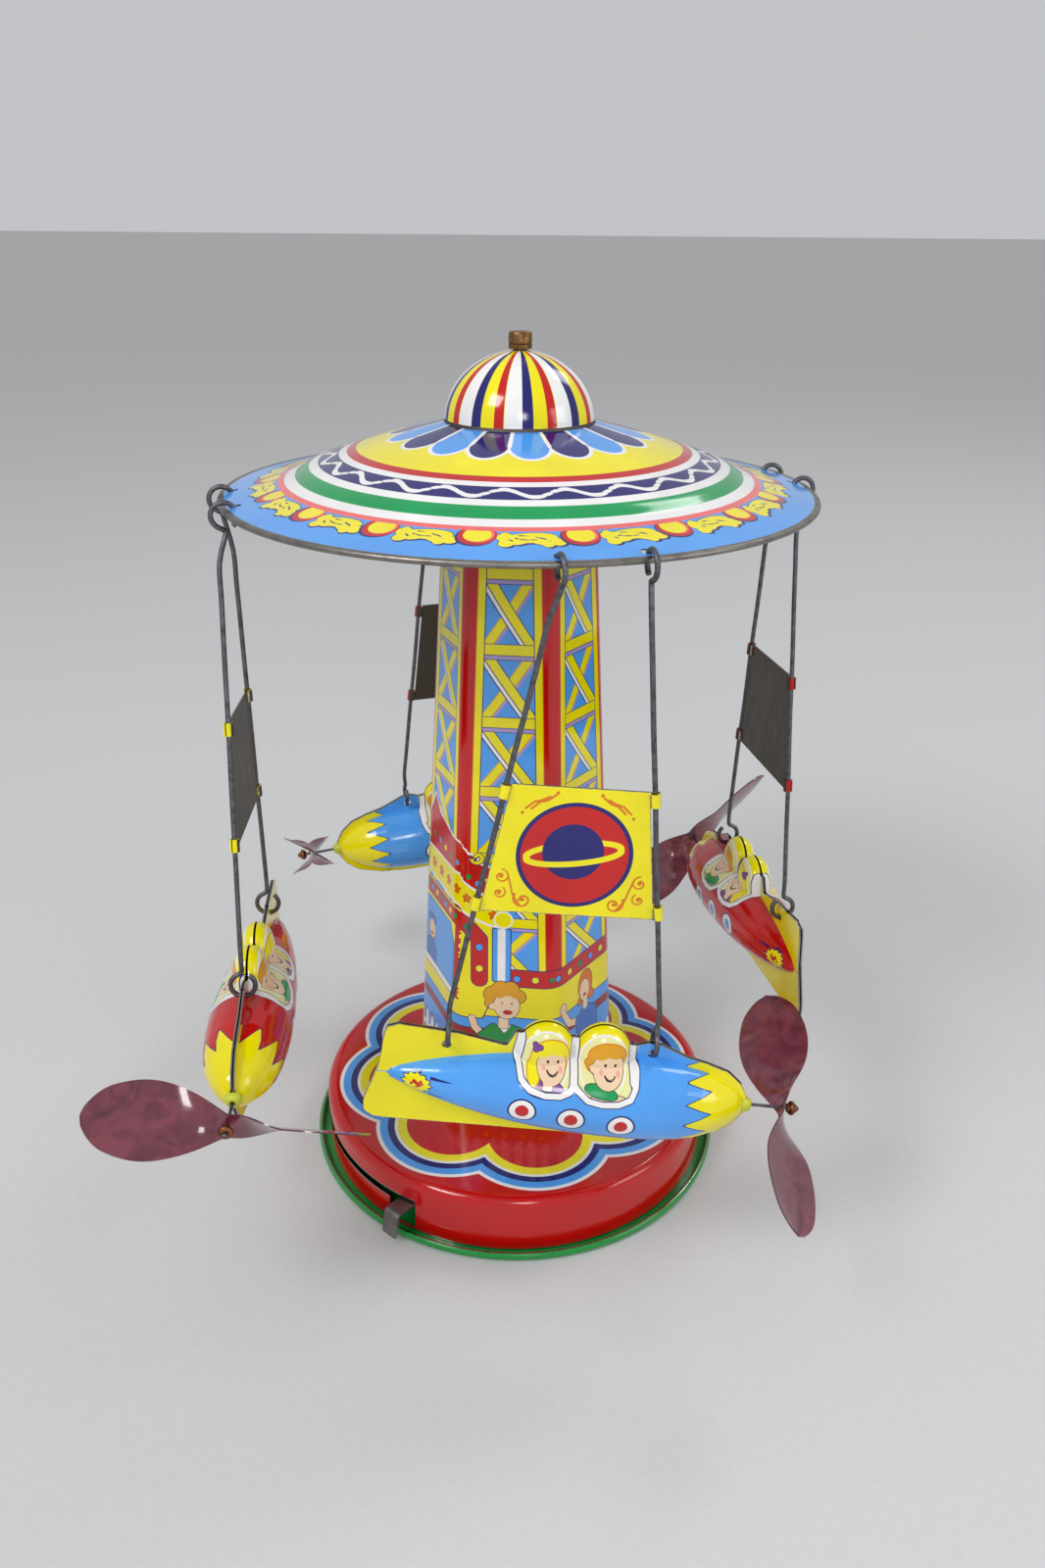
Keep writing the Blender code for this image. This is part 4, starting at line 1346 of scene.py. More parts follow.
        art.lay(Ink.SKIN, union(wave, oval(u, z, -12.9, 67.0, 1.6, 2.1) + ginger), Ink.BLACK, 0.25)
        art.lay(
            Ink.BLUE,
            patch(
                u, z, [(-5.2, 50), (-6.0, 58.6), (-2.0, 61.4), (2.4, 61.4), (6.6, 58.8), (7.0, 50)]
            ) + ginger,
            Ink.BLACK, 0.3
        )
        art.lay(
            Ink.ORANGE,
            union(
                oval(u, z, 0.2, 70.4, 4.2, 5.6), disc(u, z, 3.4, 65.0, 1.7), disc(u, z, -3.0, 65.0, 1.5)
            ) + ginger,
            Ink.BLACK, 0.25
        )
        art.lay(
            Ink.SKIN,
            union(oval(u, z, -0.3, 68.4, 2.9, 4.0), slab(u, z, 0.0, 62.8, 1.3, 2.2, 0.6)) + ginger,
            Ink.BLACK, 0.22
        )
        art.lay(
            Ink.BLUE,
            union(
                patch(u, z, [(-11.5, 72), (-12, 78.5), (-9, 80.6), (-5.4, 80.6), (-2.6, 78.0), (-3.0, 72)]),
                oval(u, z, -7.2, 88.6, 3.5, 1.6)
            ) + usher,
            Ink.BLACK, 0.25
        )
        art.lay(Ink.SKIN, oval(u, z, -7.2, 84.6, 2.9, 3.6) + usher, Ink.BLACK, 0.22)
        art.lay(Ink.WHITE, slab(u, z, -1.0, 71.2, 15.5, 1.2, 0.4) + usher, Ink.NAVY, 0.3)
        eyes = union(
            disc(u, z, -1.2, 70.4, 0.42) + fair, disc(u, z, 2.0, 70.4, 0.42) + fair,
            disc(u, z, -1.5, 69.3, 0.36) + ginger, disc(u, z, 0.9, 69.3, 0.36) + ginger,
            disc(u, z, -8.3, 85.2, 0.36) + usher, disc(u, z, -6.1, 85.2, 0.36) + usher
        )
        art.lay(Ink.BLACK, eyes)
        smiles = union(
            oval(u, z, 0.6, 66.8, 1.5, 0.8) + fair, oval(u, z, -0.3, 66.4, 0.95, 0.5) + ginger,
            oval(u, z, -7.2, 82.8, 1.0, 0.5) + usher
        )
        art.lay(Ink.RED, smiles, Ink.BLACK, 0.15)


# ------------------------------------------------------------------ canopy


@dataclass
class Canopy:
    """Domed roof pressed from one printed sheet, its rim rolled to a bead, and the collar on top."""

    dome_r: float = 22.0
    dome_foot: float = 255.4
    thickness: float = 0.5
    bead: float = 0.85
    rim_r: float = 87.65
    rim_z: float = 235.0
    hole_in: float = 2.8
    hole_up: float = 2.3
    hole_r: float = 1.4
    steps: int = 560

    def build(self, hooks: list[Vector]) -> None:
        """Turn and print the canopy, then the shaft and the collar.

        Args:
            hooks: centres in mm of the eight hook rings.
        """
        _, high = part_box("canopy")
        self.top = high.z / MM
        over = self.over()
        bead = arc(self.rim_r, self.rim_z, self.bead, 62, -170, 14)
        under = [
            (max(r - (0.45 if r <= self.dome_r + 1 else 0.12), 1.9), z - self.thickness) for r,
            z in reversed(over)
        ]
        section = [(1.9, self.top)] + over + bead + under[::7] + [(1.9, self.top - self.thickness)]
        canopy = turned("canopy_pressing", section, self.steps)
        self.pierce(canopy, hooks)
        self.print(canopy)
        smooth(canopy, 38)
        register(canopy, "carousel", "tin_canopy", "canopy")
        self.shaft_and_collar()

    def over(self) -> list[Point]:
        """The upper surface's profile from the collar to the rim.

        Returns:
            The points in mm.
        """
        rise = self.top - self.dome_foot
        dome = [
            (
                self.dome_r * math.cos(math.radians(a)), self.dome_foot + rise * math.sin(math.radians(a))
            ) for a in np.linspace(84, 1.5, 26)
        ]
        crease = [(self.dome_r + 0.15, self.dome_foot - 0.1)]
        bend = [
            Vector((r, 0, z)) for r,
            z in (
                (22.9, 255.15), (42, 249.9), (61, 243.7), (67, 240.5), (76, 237.9),
                (self.rim_r - 0.9, self.rim_z + 0.75)
            )
        ]
        brim = [(p.x, p.z) for p in fluent(bend, 14)]
        return dome + crease + brim

    def pierce(self, canopy: bpy.types.Object, hooks: list[Vector]) -> None:
        """Cut the eight holes that the hooks pass through.

        Args:
            canopy: the canopy.
            hooks: centres in mm of the hook rings.
        """
        only()
        ring_r = ((hooks[0] + hooks[1]) / 2).xy.length
        for spot in hooks:
            away = Vector((spot.x, spot.y)).normalized()
            centre = Vector((*(away * (ring_r - self.hole_in)), spot.z + self.hole_up))
            lean = (0.0, math.radians(40), math.atan2(away.y, away.x))
            bpy.ops.mesh.primitive_cylinder_add(
                vertices=24, radius=self.hole_r * MM, depth=3.0 * MM, location=centre * MM, rotation=lean
            )
            cutter = bpy.context.object
            bpy.ops.object.transform_apply(location=True, rotation=True, scale=True)
            cutter.name = f"hook_punch_{len(bpy.data.objects)}"
            cutter.select_set(False)
            only(canopy)
            punch = canopy.modifiers.new("punch", "BOOLEAN")
            punch.object, punch.operation, punch.solver = cutter, "DIFFERENCE", "EXACT"
            bpy.ops.object.modifier_apply(modifier=punch.name)
            bpy.data.objects.remove(cutter)

    def print(self, canopy: bpy.types.Object) -> None:
        """Print stripes on the dome, and petals, rings, a wavy line and scrolls on the brim.

        Args:
            canopy: the canopy.
        """
        points = places(canopy)
        az, r, z = azimuth(points), np.hypot(points[:, 0], points[:, 1]), points[:, 2]
        art = Artwork(canopy, Ink.YELLOW)
        on_brim = np.where(z > self.dome_foot - 0.05, 30.0, 0.0)
        rings = ((Ink.RED, 48.0), (Ink.WHITE, 50.8), (Ink.NAVY, 53.1))
        for ink, radius in rings:
            art.lay(ink, radius - r)
        swing = r - 56.1 - 1.75 * np.sin(np.radians(az * 22))
        art.lay(Ink.WHITE, (np.abs(swing) - 0.85) * 0.72)
        for ink, radius in (
            (Ink.WHITE, 59.2), (Ink.LEAF, 61.9), (Ink.WHITE, 66.0), (Ink.SALMON, 69.2), (Ink.SKY, 71.2)
        ):
            art.lay(ink, radius - r)
        self.scrolls(art, az, r)
        petals = self.petals(az, r) + on_brim
        art.lay(Ink.WHITE, petals - 1.1)
        art.lay(Ink.SKY, self.petals(az, r, 0) + on_brim)
        art.lay(Ink.NAVY, self.petals(az, r, 1) + on_brim)
        self.stripes(art, az, r, z)
        bead = self.rim_r - 0.75 - r
        art.finish("carousel_roof_litho_tin", np.maximum(bead * 0.9 + 0.02, -0.6), 0.3)
        # Downward faces under the brim take the darker inside tin, which is painted shade; the rolled rim bead
        # keeps plain bare tin.
        centres, normals = face_facts(canopy)
        radius = np.hypot(centres[:, 0], centres[:, 1])
        below = (normals[:, 2] < -0.15) & (radius < self.rim_r - 1.2)
        line_inside(canopy, INSIDE_SHADE_TIN, below)
        canopy.data.materials.append(BARE_TIN.material())
        index = np.where(radius > self.rim_r - 0.6, 2, below.astype(int))
        canopy.data.polygons.foreach_set("material_index", index.astype(np.int32))

    def petals(self, az: Field, r: Field, which: int | None = None) -> Field:
        """Round-ended petals from the dome's foot: all of them, or every other one.

        Args:
            az: angle round the axis in degrees.
            r: radius in mm.
            which: 0 or 1 for every other petal, None for all.

        Returns:
            Signed distance in mm.
        """
        if which is None:
            return np.minimum(self.petals(az, r, 0), self.petals(az, r, 1))
        turn = np.radians(wrap(az - 5.0 - 20 * which, 40))
        x, y = r * np.sin(turn), r * np.cos(turn)
        wedge = np.abs(x) * 0.985 - 0.1625 * y + 0.28
        tip = oval(x, y, 0.0, 31.5, 5.35, 7.0)
        return np.where(y < 31.5, np.maximum(wedge, -(y - 10)), tip)

    def stripes(self, art: Artwork, az: Field, r: Field, z: Field) -> None:
        """Nine repeats of four stripes run down the dome.

        Args:
            art: the print.
            az: angle round the axis in degrees.
            r: radius in mm.
            z: height in mm.
        """
        off_dome = np.maximum((self.dome_foot - 0.06 - z) * 40, r - self.dome_r - 0.3)
        art.lay(Ink.YELLOW, np.maximum(off_dome, -5.0))
        for ink, middle, width in ((Ink.RED, -15.6, 7.4), (Ink.WHITE, -4.8, 13.2), (Ink.NAVY, 6.0, 8.2)):
            across = (np.abs(wrap(az - middle, 40)) - width / 2) * np.radians(1.0) * r
            art.lay(ink, np.maximum(across, off_dome))

    def scrolls(self, art: Artwork, az: Field, r: Field) -> None:
        """Eighteen repeats of a curled leaf and of a lobe in a red arch, with a dark shade under each.

        Args:
            art: the print.
            az: angle round the axis in degrees.
            r: radius in mm.
        """
        x = np.radians(wrap(az - 2.0, 20)) * 76.0
        art.lay(Ink.NAVY, self.leaf(x - 0.5, r - 0.75))
        art.lay(Ink.YELLOW, self.leaf(x, r), Ink.NAVY, 0.22)
        side = np.radians(wrap(az - 12.0, 20)) * 76.0
        art.lay(Ink.NAVY, inside_both(disc(side + 0.4, r - 0.5, 0.0, 73.6, 5.2), 71.2 - r))
        art.lay(Ink.RED, inside_both(disc(side, r, 0.0, 73.4, 5.1), 71.2 - r))
        art.lay(Ink.SALMON, inside_both(disc(side, r, 0.4, 73.0, 4.1), 71.2 - r))
        art.lay(Ink.YELLOW, inside_both(oval(side, r, 0.0, 73.2, 3.7, 3.5), 71.2 - r))
        flecks = union(
            line(x, r, [(-3.6, 74.6), (-0.4, 75.6), (2.2, 75.0)], 0.28),
            line(x, r, [(-2.6, 73.2), (0.4, 73.6)], 0.26), line(x, r, [(1.8, 74.0), (4.6, 75.2)], 0.3),
            line(x, r, [(-5.2, 75.0), (-4.0, 76.2)], 0.3)
        )
        art.lay(Ink.NAVY, flecks)

    def leaf(self, x: Field, r: Field) -> Field:
        """A leaf with curled ends, drawn along the rim.

        Args:
            x: place along the rim in mm.
            r: radius in mm.

        Returns:
            Signed distance in mm.
        """
        belly = union(
            oval(x, r, 0.2, 74.4, 6.9, 2.5, -5), oval(x, r, 3.0, 76.6, 2.6, 1.3, 20),
            oval(x, r, -2.4, 76.6, 2.2, 1.1, -25)
        )
        ends = union(
            disc(x, r, -5.9, 77.4, 1.8), disc(x, r, -7.0, 74.2, 1.5), disc(x, r, 7.0, 76.6, 1.9),
            disc(x, r, 4.4, 78.0, 1.3)
        )
        stem = line(x, r, [(-6.2, 73.0), (-6.0, 77.2)], 1.3)
        return inside_both(union(belly, ends, stem), 71.6 - r)

    def shaft_and_collar(self) -> None:
        """Turn the shaft and the grooved collar that holds the canopy down."""
        low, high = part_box("top_collar")
        r, z0, z1 = high.x / MM, low.z / MM, high.z / MM
        section = [
            (1.7, z0), (r - 0.3, z0), (r, z0 + 0.3), (r, z0 + 1.3), (r - 0.18, z0 + 1.45), (r, z0 + 1.6)
        ]
        section += [
            (r, z1 - 0.75), (r - 0.12, z1 - 0.35), (r - 0.45, z1), (0.9, z1), (0.5, z1 - 0.35),
            (0.0, z1 - 0.35), (0.0, z1 - 1.4), (1.7, z1 - 1.4)
        ]
        collar = turned("top_collar_turned", section, 64)
        dress(collar, BRASS)
        smooth(collar, 30)
        register(collar, "carousel", "brass_turned", "top_collar")
        low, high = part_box("main_shaft")
        radius, foot, top = high.x / MM, low.z / MM, high.z / MM
        section = [(0.0, foot), (radius * 0.6, foot)] + chain(
            [(radius, foot + 0.8), (radius, top)], 6.0
        ) + [(0.0, top)]
        shaft = turned("main_shaft_ground", section, 40)
        dress(shaft, WIRE)
        register(shaft, "carousel", "steel_wire", "main_shaft")


# ------------------------------------------------------------------ rockets


class Livery(Enum):
    """The two body colours: the body's ink, and the centre and outline of its portholes."""

    BLUE = (Ink.SKY, Ink.RED, Ink.NAVY)
    RED = (Ink.RED, Ink.SKY, Ink.NAVY)


@dataclass
class RocketPressing:
    """One pressed half of a rocket: bulged body, two cockpit hoods, and its share of the flange and fins."""

    livery: Livery
    seam: float = 0.15
    flange: float = 0.5
    hood_at: tuple[Point, Point] = ((-44.5, 13.4), (-61.0, 12.6))
    hood_size: tuple[float, float, float] = (8.2, 5.6, 9.6)
    holes: tuple[Point, Point] = ((-30.0, 15.0), (-89.0, 11.5))
    hole_r: float = 1.4
    columns: int = 112

    BODY = (
        (-0.7, 0.0), (-0.9, 2.6), (-1.5, 3.4), (-3.0, 5.1), (-5, 6.5), (-8, 8.2), (-11, 9.6), (-15, 10.95),
        (-20, 11.9), (-27, 12.6), (-34, 12.9), (-43, 12.85), (-52, 12.5), (-60, 11.9), (-68, 11.0),
        (-76, 9.75), (-84, 8.1), (-90, 6.6), (-96, 4.8), (-101, 2.9), (-104, 1.4), (-104.6, 0.0)
    )
    TOP = (
        (0.6, 2.7), (-2.0, 7.2), (-6.5, 11.0), (-13.0, 13.2), (-19.0, 14.6), (-24.0, 16.6), (-28.0, 18.3),
        (-31.5, 18.6), (-35.0, 17.4), (-53.0, 18.2), (-70.0, 18.0), (-72.0, 13.0), (-86.0, 15.6),
        (-103.0, 16.8), (-106.3, 15.4), (-107.0, 12.0), (-107.3, 3.0), (-110.6, -10.5)
    )
    FOOT = (
        (0.6, -2.7), (-2.0, -7.2), (-6.5, -11.0), (-15.5, -13.9), (-26.0, -15.2), (-60.0, -15.9),
        (-104.0, -16.5), (-107.6, -16.3), (-110.4, -14.2), (-110.6, -10.6)
    )

    def along(self) -> np.ndarray:
        """Where the rows of the sheet lie from nose to tail, closer together where the print is fine.

        Returns:
            Place of each row in mm.
        """
        rows = [0.6, 0.2, -0.2, -0.5, -0.7, -0.8, -0.9, -1.2, -1.5, -2.0]
        rows += list(np.arange(-2.6, -32.5, -0.62)) + list(np.arange(-32.7, -72.2, -0.44))
        rows += list(np.arange(-72.6, -103.0, -0.66)) + list(np.linspace(-103.2, -106.3, 6)) + [
            -106.65, -107.0, -107.15, -107.3
        ]
        return np.array(rows + list(np.linspace(-107.8, -110.55, 7)))

    def edge_radius(self, s: Field) -> Field:
        """The body's radius along its axis."""
        known = np.array(self.BODY)[::-1]
        return np.interp(s, known[:, 0], known[:, 1])

    def hood_top(self, s: Field) -> Field:
        """Height of the hoods' outline over the axis, or far below where there is none.

        Args:
            s: place along the axis in mm.

        Returns:
            Height in mm.
        """
        half_s, _, half_w = self.hood_size
        found = np.full(np.shape(s), -99.0)
        for at, up in self.hood_at:
            inside = np.clip(1 - ((s - at) / half_s) ** 2, 0, None)
            found = np.maximum(found, np.where(inside > 0, up + half_w * np.sqrt(inside), -99.0))
        return found

    def build(self, name: str) -> bpy.types.Object:
        """Draw one outer half from a sheet in the rocket's own frame, X forward, Y inward and Z up.

        Args:
            name: the piece's name.

        Returns:
            The printed half.
        """
        s = self.along()
        top_known, foot_known = np.array(self.TOP)[::-1], np.array(self.FOOT)[::-1]
        fin_top = np.interp(s, top_known[:, 0], top_known[:, 1])
        top = np.maximum(fin_top, self.hood_top(s))
        foot = np.interp(s, foot_known[:, 0], foot_known[:, 1])
        radius = np.sqrt(np.maximum(self.edge_radius(s) ** 2 - 0.2, 0.0))
        low, mid, high = 12, 68, self.columns - 80
        lower = np.linspace(0, 1, low, endpoint=False)
        angles = np.linspace(-math.pi / 2, math.pi / 2, mid)
        upper = np.sin(np.linspace(0, math.pi / 2, high + 1))[1:]
        rows = []
        for i in range(len(s)):
            r = min(radius[i], top[i] - 0.02, -foot[i] - 0.02) if top[i] > 0.1 else 0.0
            centre = 0.0 if top[i] > 0.1 else (top[i] + foot[i]) / 2
            w = np.concatenate(
                [
                    foot[i] + (centre - r - foot[i]) * lower, centre + r * np.sin(angles),
                    centre + r + (top[i] - centre - r) * upper
                ]
            )
            rows.append(w)
        w = np.array(rows)
        grid_s = np.repeat(s[:, None], w.shape[1], axis=1)
        y = self.depth(grid_s, w, fin_top[:, None])
        half = sheet(name, w.shape[1], len(s))
        move_to(half, np.column_stack([grid_s.ravel(), -y.ravel(), w.ravel()]))
        self.pierce(half)
        _, normals = face_facts(half)
        if normals[:, 1].mean() > 0:
            half.data.flip_normals()
        wall(half, self.flange - 0.05)
        self.flatten_back(half)
        self.print(half)
        smooth(half, 46)
        return half

    def depth(self, s: Field, w: Field, fin_top: Field) -> Field:
        """How far the sheet's face stands out from the seam, in mm.

        Args:
            s: place along the axis in mm.
            w: height over the axis in mm.
            fin_top: top of the flange in mm.

        Returns:
            Height over the seam in mm.
        """
        flat = self.seam + self.flange
        round_body = np.sqrt(np.maximum(self.edge_radius(s) ** 2 - w**2, 0.0))
        half_s, half_y, half_w = self.hood_size
        body = round_body
        for at, up in self.hood_at:
            dome = 1 - ((s - at) / half_s) ** 2 - ((w - up) / half_w) ** 2
            hood = half_y * np.sqrt(np.maximum(dome, 0.0)) ** 0.9
            body = self.blend(body, hood, 1.0)
        hollow = 0.35 * np.exp(-(((s + 52.6) / 2.4) ** 2)) * np.clip((w - 10) / 4, 0, 1)
        skin = self.blend(np.full(np.shape(s), flat), body, 0.7) - hollow * (body > flat + 0.4)
        return np.where(w > fin_top + 0.01, np.maximum(body, self.seam + 0.02), skin)

    def blend(self, a: Field, b: Field, soft: float) -> Field:
        """The greater of two heights, with a fillet where they meet."""
        near = np.clip(0.5 + 0.5 * (a - b) / soft, 0, 1)
        return np.maximum(a * near + b * (1 - near) + soft * near * (1 - near) * 0.9, np.maximum(a, b))

    def pierce(self, half: bpy.types.Object) -> None:
        """Open the two wire holes and draw their edges round.

        Args:
            half: the half rocket.
        """
        points = places(half)
        centres, _ = face_facts(half)
        gone = np.zeros(len(centres), bool)
        for s, w in self.holes:
            far = np.hypot(points[:, 0] - s, points[:, 2] - w)
            ring = (far > 0.05) & (far < self.hole_r + 0.42)
            pull = np.where(ring & (far > self.hole_r - 0.45), self.hole_r / np.maximum(far, 1e-6), 1.0)
            points[:, 0] = s + (points[:, 0] - s) * pull
            points[:, 2] = w + (points[:, 2] - w) * pull
            gone |= np.hypot(centres[:, 0] - s, centres[:, 2] - w) < self.hole_r - 0.02
        move_to(half, points)
        centres, _ = face_facts(half)
        for s, w in self.holes:
            gone |= np.hypot(centres[:, 0] - s, centres[:, 2] - w) < self.hole_r - 0.12
        chosen_only(half, faces=gone)
        bpy.ops.mesh.delete(type="FACE")
        bpy.ops.mesh.select_mode(type="VERT")
        bpy.ops.object.mode_set(mode="OBJECT")

    def flatten_back(self, half: bpy.types.Object) -> None:
        """Keep the sheet's back on its own side of the seam.

        Args:
            half: the half rocket.
        """
        points = places(half)
        points[:, 1] = np.minimum(points[:, 1], -self.seam)
        move_to(half, points)

    def print(self, half: bpy.types.Object) -> None:
        """Print the livery: nose flash, portholes, cockpits with their crew, tail burst and yellow fins.

        Args:
            half: the half rocket.
        """
        body_ink, centre_ink, ring_ink = self.livery.value
        points = places(half)
        s, w = points[:, 0], points[:, 2]
        r = np.maximum(self.edge_radius(s), 0.05)
        v = r * np.arcsin(np.clip(w / r, -1, 1)) + np.sign(w) * np.maximum(np.abs(w) - r, 0)
        art = Artwork(half, body_ink)
        off_body = r + 0.1 - np.abs(w)
        lug = patch(s, w, [(-34.6, 6), (-34.6, 24), (-8, 24), (-8, 6)])
        art.lay(Ink.YELLOW, np.maximum(off_body, -lug))
        half_s, _, half_w = self.hood_size
        hoods = union(*[oval(s, w, at, up, half_s + 0.2, half_w + 0.2) for at, up in self.hood_at])
        art.lay(Ink.YELLOW, np.maximum(hoods, 6.5 - w))
        self.nose(art, s, v)
        for at, up in ((-66.0, -1.2), (-52.0, -1.9), (-37.6, -2.4)):
            art.lay(Ink.WHITE, disc(s, v, at, up, 3.6), ring_ink, 0.55)
            art.lay(centre_ink, oval(s, v, at, up, 1.95, 2.15))
        self.tail(art, s, v)
        self.cockpits(art, s, w, v)
        fin = patch(s, w, [*self.TOP, *reversed(self.FOOT)])
        rim = np.where(self.hood_top(s) > w - 0.4, 3.0, np.abs(fin))
        art.finish(f"rocket_litho_tin_{self.livery.name.lower()}", rim + 0.12, 0.3)
        # Inward faces take the darker inside tin: painted shade inside the half.
        centres, normals = face_facts(half)
        line_inside(half, INSIDE_SHADE_TIN, (normals[:, 1] > 0.25))

    def nose(self, art: Artwork, s: Field, v: Field) -> None:
        """The yellow nose ends in a row of sharp teeth with a dark edge.

        Args:
            art: the print.
            s: place along the axis in mm.
            v: place up the sheet in mm.
        """
        saw = np.abs(wrap(v + 0.6, 6.4)) / 3.2
        front = -19.6 + 8.2 * saw
        art.lay(Ink.YELLOW, (front - s) * 0.42, Ink.NAVY, 0.32)

    def tail(self, art: Artwork, s: Field, v: Field) -> None:
        """A burst of yellow flame with red squiggles, and dark speed lines ahead of it.

        Args:
            art: the print.
            s: place along the axis in mm.
            v: place up the sheet in mm.
        """
        streaks = union(
            patch(s, v, [(-92.5, 2.2), (-92.5, 3.2), (-84.0, 2.9)]),
            patch(s, v, [(-92.5, -2.6), (-92.5, -3.4), (-84.4, -3.0)]),
            patch(s, v, [(-99.6, 3.6), (-95.0, 3.2), (-95.0, 4.3)]),
            patch(s, v, [(-100.0, -3.4), (-95.6, -3.0), (-95.6, -4.1)])
        )
        art.lay(Ink.NAVY, streaks)
        spikes = []
        for k in range(24):
            a, reach = math.tau * k / 24, (1.0, 0.72)[k % 2]
            spikes.append((-96.2 + 4.5 * reach * math.cos(a), 3.5 * reach * math.sin(a)))
        art.lay(Ink.YELLOW, patch(s, v, spikes), Ink.NAVY, 0.25)
        flame = union(
            line(s, v, [(-97.8, -0.8), (-96.8, 0.9), (-95.9, -0.6), (-95.0, 1.0)], 0.36),
            line(s, v, [(-96.6, -1.6), (-95.4, -0.9), (-94.4, 0.2)], 0.3)
        )
        art.lay(Ink.RED, flame)

    def cockpits(self, art: Artwork, s: Field, w: Field, v: Field) -> None:
        """Two open cockpits with rounded panes, white posts and sills, and a cheerful traveller in each.

        Args:
            art: the print.
            s: place along the axis in mm.
            w: height over the axis in mm.
            v: not used.
        """
        aft_sill = [
            (-68.6, 11.0), (-67.4, 7.6), (-64.6, 5.4), (-60.2, 4.6), (-56.0, 5.0), (-53.4, 6.4),
            (-52.6, 8.4)
        ]
        fore_sill = [
            (-52.4, 8.2), (-50.6, 6.6), (-48.0, 4.8), (-44.0, 4.2), (-39.4, 4.6), (-36.0, 6.2),
            (-34.8, 9.0), (-34.6, 12.0)
        ]
        tub = union(
            patch(s, w, aft_sill + [(-53.0, 14.0), (-68.0, 14.0)]),
            patch(s, w, fore_sill + [(-36.0, 15.0), (-51.8, 15.0)])
        )
        art.lay(Ink.GLASS, tub)
        panes = union(*[oval(s, w, at, up + 0.2, 6.5, 7.7) for at, up in self.hood_at])
        art.lay(Ink.GLASS, panes, Ink.WHITE, 0.45)
        self.girl(art, s, w)
        self.boy(art, s, w)
        posts = union(
            bar(s, w, (-68.9, 11.2), (-68.3, 17.6), 1.0), bar(s, w, (-52.6, 8.6), (-52.8, 17.6), 1.0),
            bar(s, w, (-35.4, 10.0), (-36.2, 17.6), 1.0)
        )
        sills = union(line(s, w, aft_sill, 0.75), line(s, w, fore_sill, 0.75))
        art.lay(Ink.WHITE, union(posts, sills), Ink.NAVY, 0.3)

    def girl(self, art: Artwork, s: Field, w: Field) -> None:
        """Fair-haired traveller with a purple bow, in the rear seat.

        Args:
            art: the print.
            s: place along the axis in mm.
            w: height over the axis in mm.
        """
        art.lay(Ink.PURPLE, oval(s, w, -60.6, 6.2, 5.6, 2.4), Ink.BLACK, 0.2)
        art.lay(
            Ink.YELLOW, union(oval(s, w, -59.8, 13.6, 5.3, 5.2), oval(s, w, -64.0, 10.0, 1.7, 3.6)),
            Ink.GOLD, 0.4
        )
        art.lay(
            Ink.SKIN, union(oval(s, w, -59.2, 11.7, 4.1, 4.5), slab(s, w, -59.8, 7.4, 1.3, 1.5, 0.5)),
            Ink.BLACK, 0.18
        )
        art.lay(
            Ink.YELLOW, union(oval(s, w, -61.4, 15.2, 2.6, 1.3, 25), oval(s, w, -57.8, 15.4, 2.7, 1.1, -22))
        )
        art.lay(
            Ink.PURPLE,
            union(
                disc(s, w, -64.2, 15.8, 0.85), disc(s, w, -63.0, 16.5, 0.85), disc(s, w, -64.4, 17.1, 0.8)
            ),
            Ink.BLACK, 0.12
        )
        self.features(art, s, w, -59.0, 11.7)

    def boy(self, art: Artwork, s: Field, w: Field) -> None:
        """Brown-haired traveller in a green collar, in the front seat.

        Args:
            art: the print.
            s: place along the axis in mm.
            w: height over the axis in mm.
        """
        art.lay(Ink.SKIN, oval(s, w, -42.8, 5.4, 5.6, 1.5, 6), Ink.BLACK, 0.2)
        art.lay(Ink.LEAF, oval(s, w, -44.6, 7.3, 4.8, 1.5, -8), Ink.BLACK, 0.2)
        art.lay(
            Ink.GOLD, union(oval(s, w, -43.6, 15.4, 5.4, 4.1), disc(s, w, -47.8, 13.0, 1.8)), Ink.ORANGE,
            0.3
        )
        art.lay(
            Ink.SKIN, union(oval(s, w, -43.0, 12.4, 4.4, 4.6), disc(s, w, -47.3, 11.8, 0.95)), Ink.BLACK,
            0.18
        )
        art.lay(
            Ink.GOLD, union(oval(s, w, -45.2, 16.2, 2.6, 1.5, 18), oval(s, w, -41.8, 16.5, 2.8, 1.3, -14))
        )
        self.features(art, s, w, -42.6, 12.3)

    def features(self, art: Artwork, s: Field, w: Field, x: float, y: float) -> None:
        """Plain cartoon eyes, cheeks and smile about the middle of a face.

        Args:
            art: the print.
            s: place along the axis in mm.
            w: height over the axis in mm.
            x: middle of the face, along the axis.
            y: middle of the face, up.
        """
        art.lay(Ink.BLUSH, union(disc(s, w, x - 2.3, y - 1.2, 0.6), disc(s, w, x + 2.5, y - 1.2, 0.6)))
        smile = [
            (x - 1.3, y - 1.7), (x - 0.6, y - 2.35), (x + 0.3, y - 2.5), (x + 1.2, y - 2.2),
            (x + 1.7, y - 1.6)
        ]
        art.lay(
            Ink.BLACK,
            union(
                oval(s, w, x - 1.3, y + 0.7, 0.42, 0.62), oval(s, w, x + 1.6, y + 0.7, 0.42, 0.62),
                line(s, w, smile, 0.24)
            )
        )


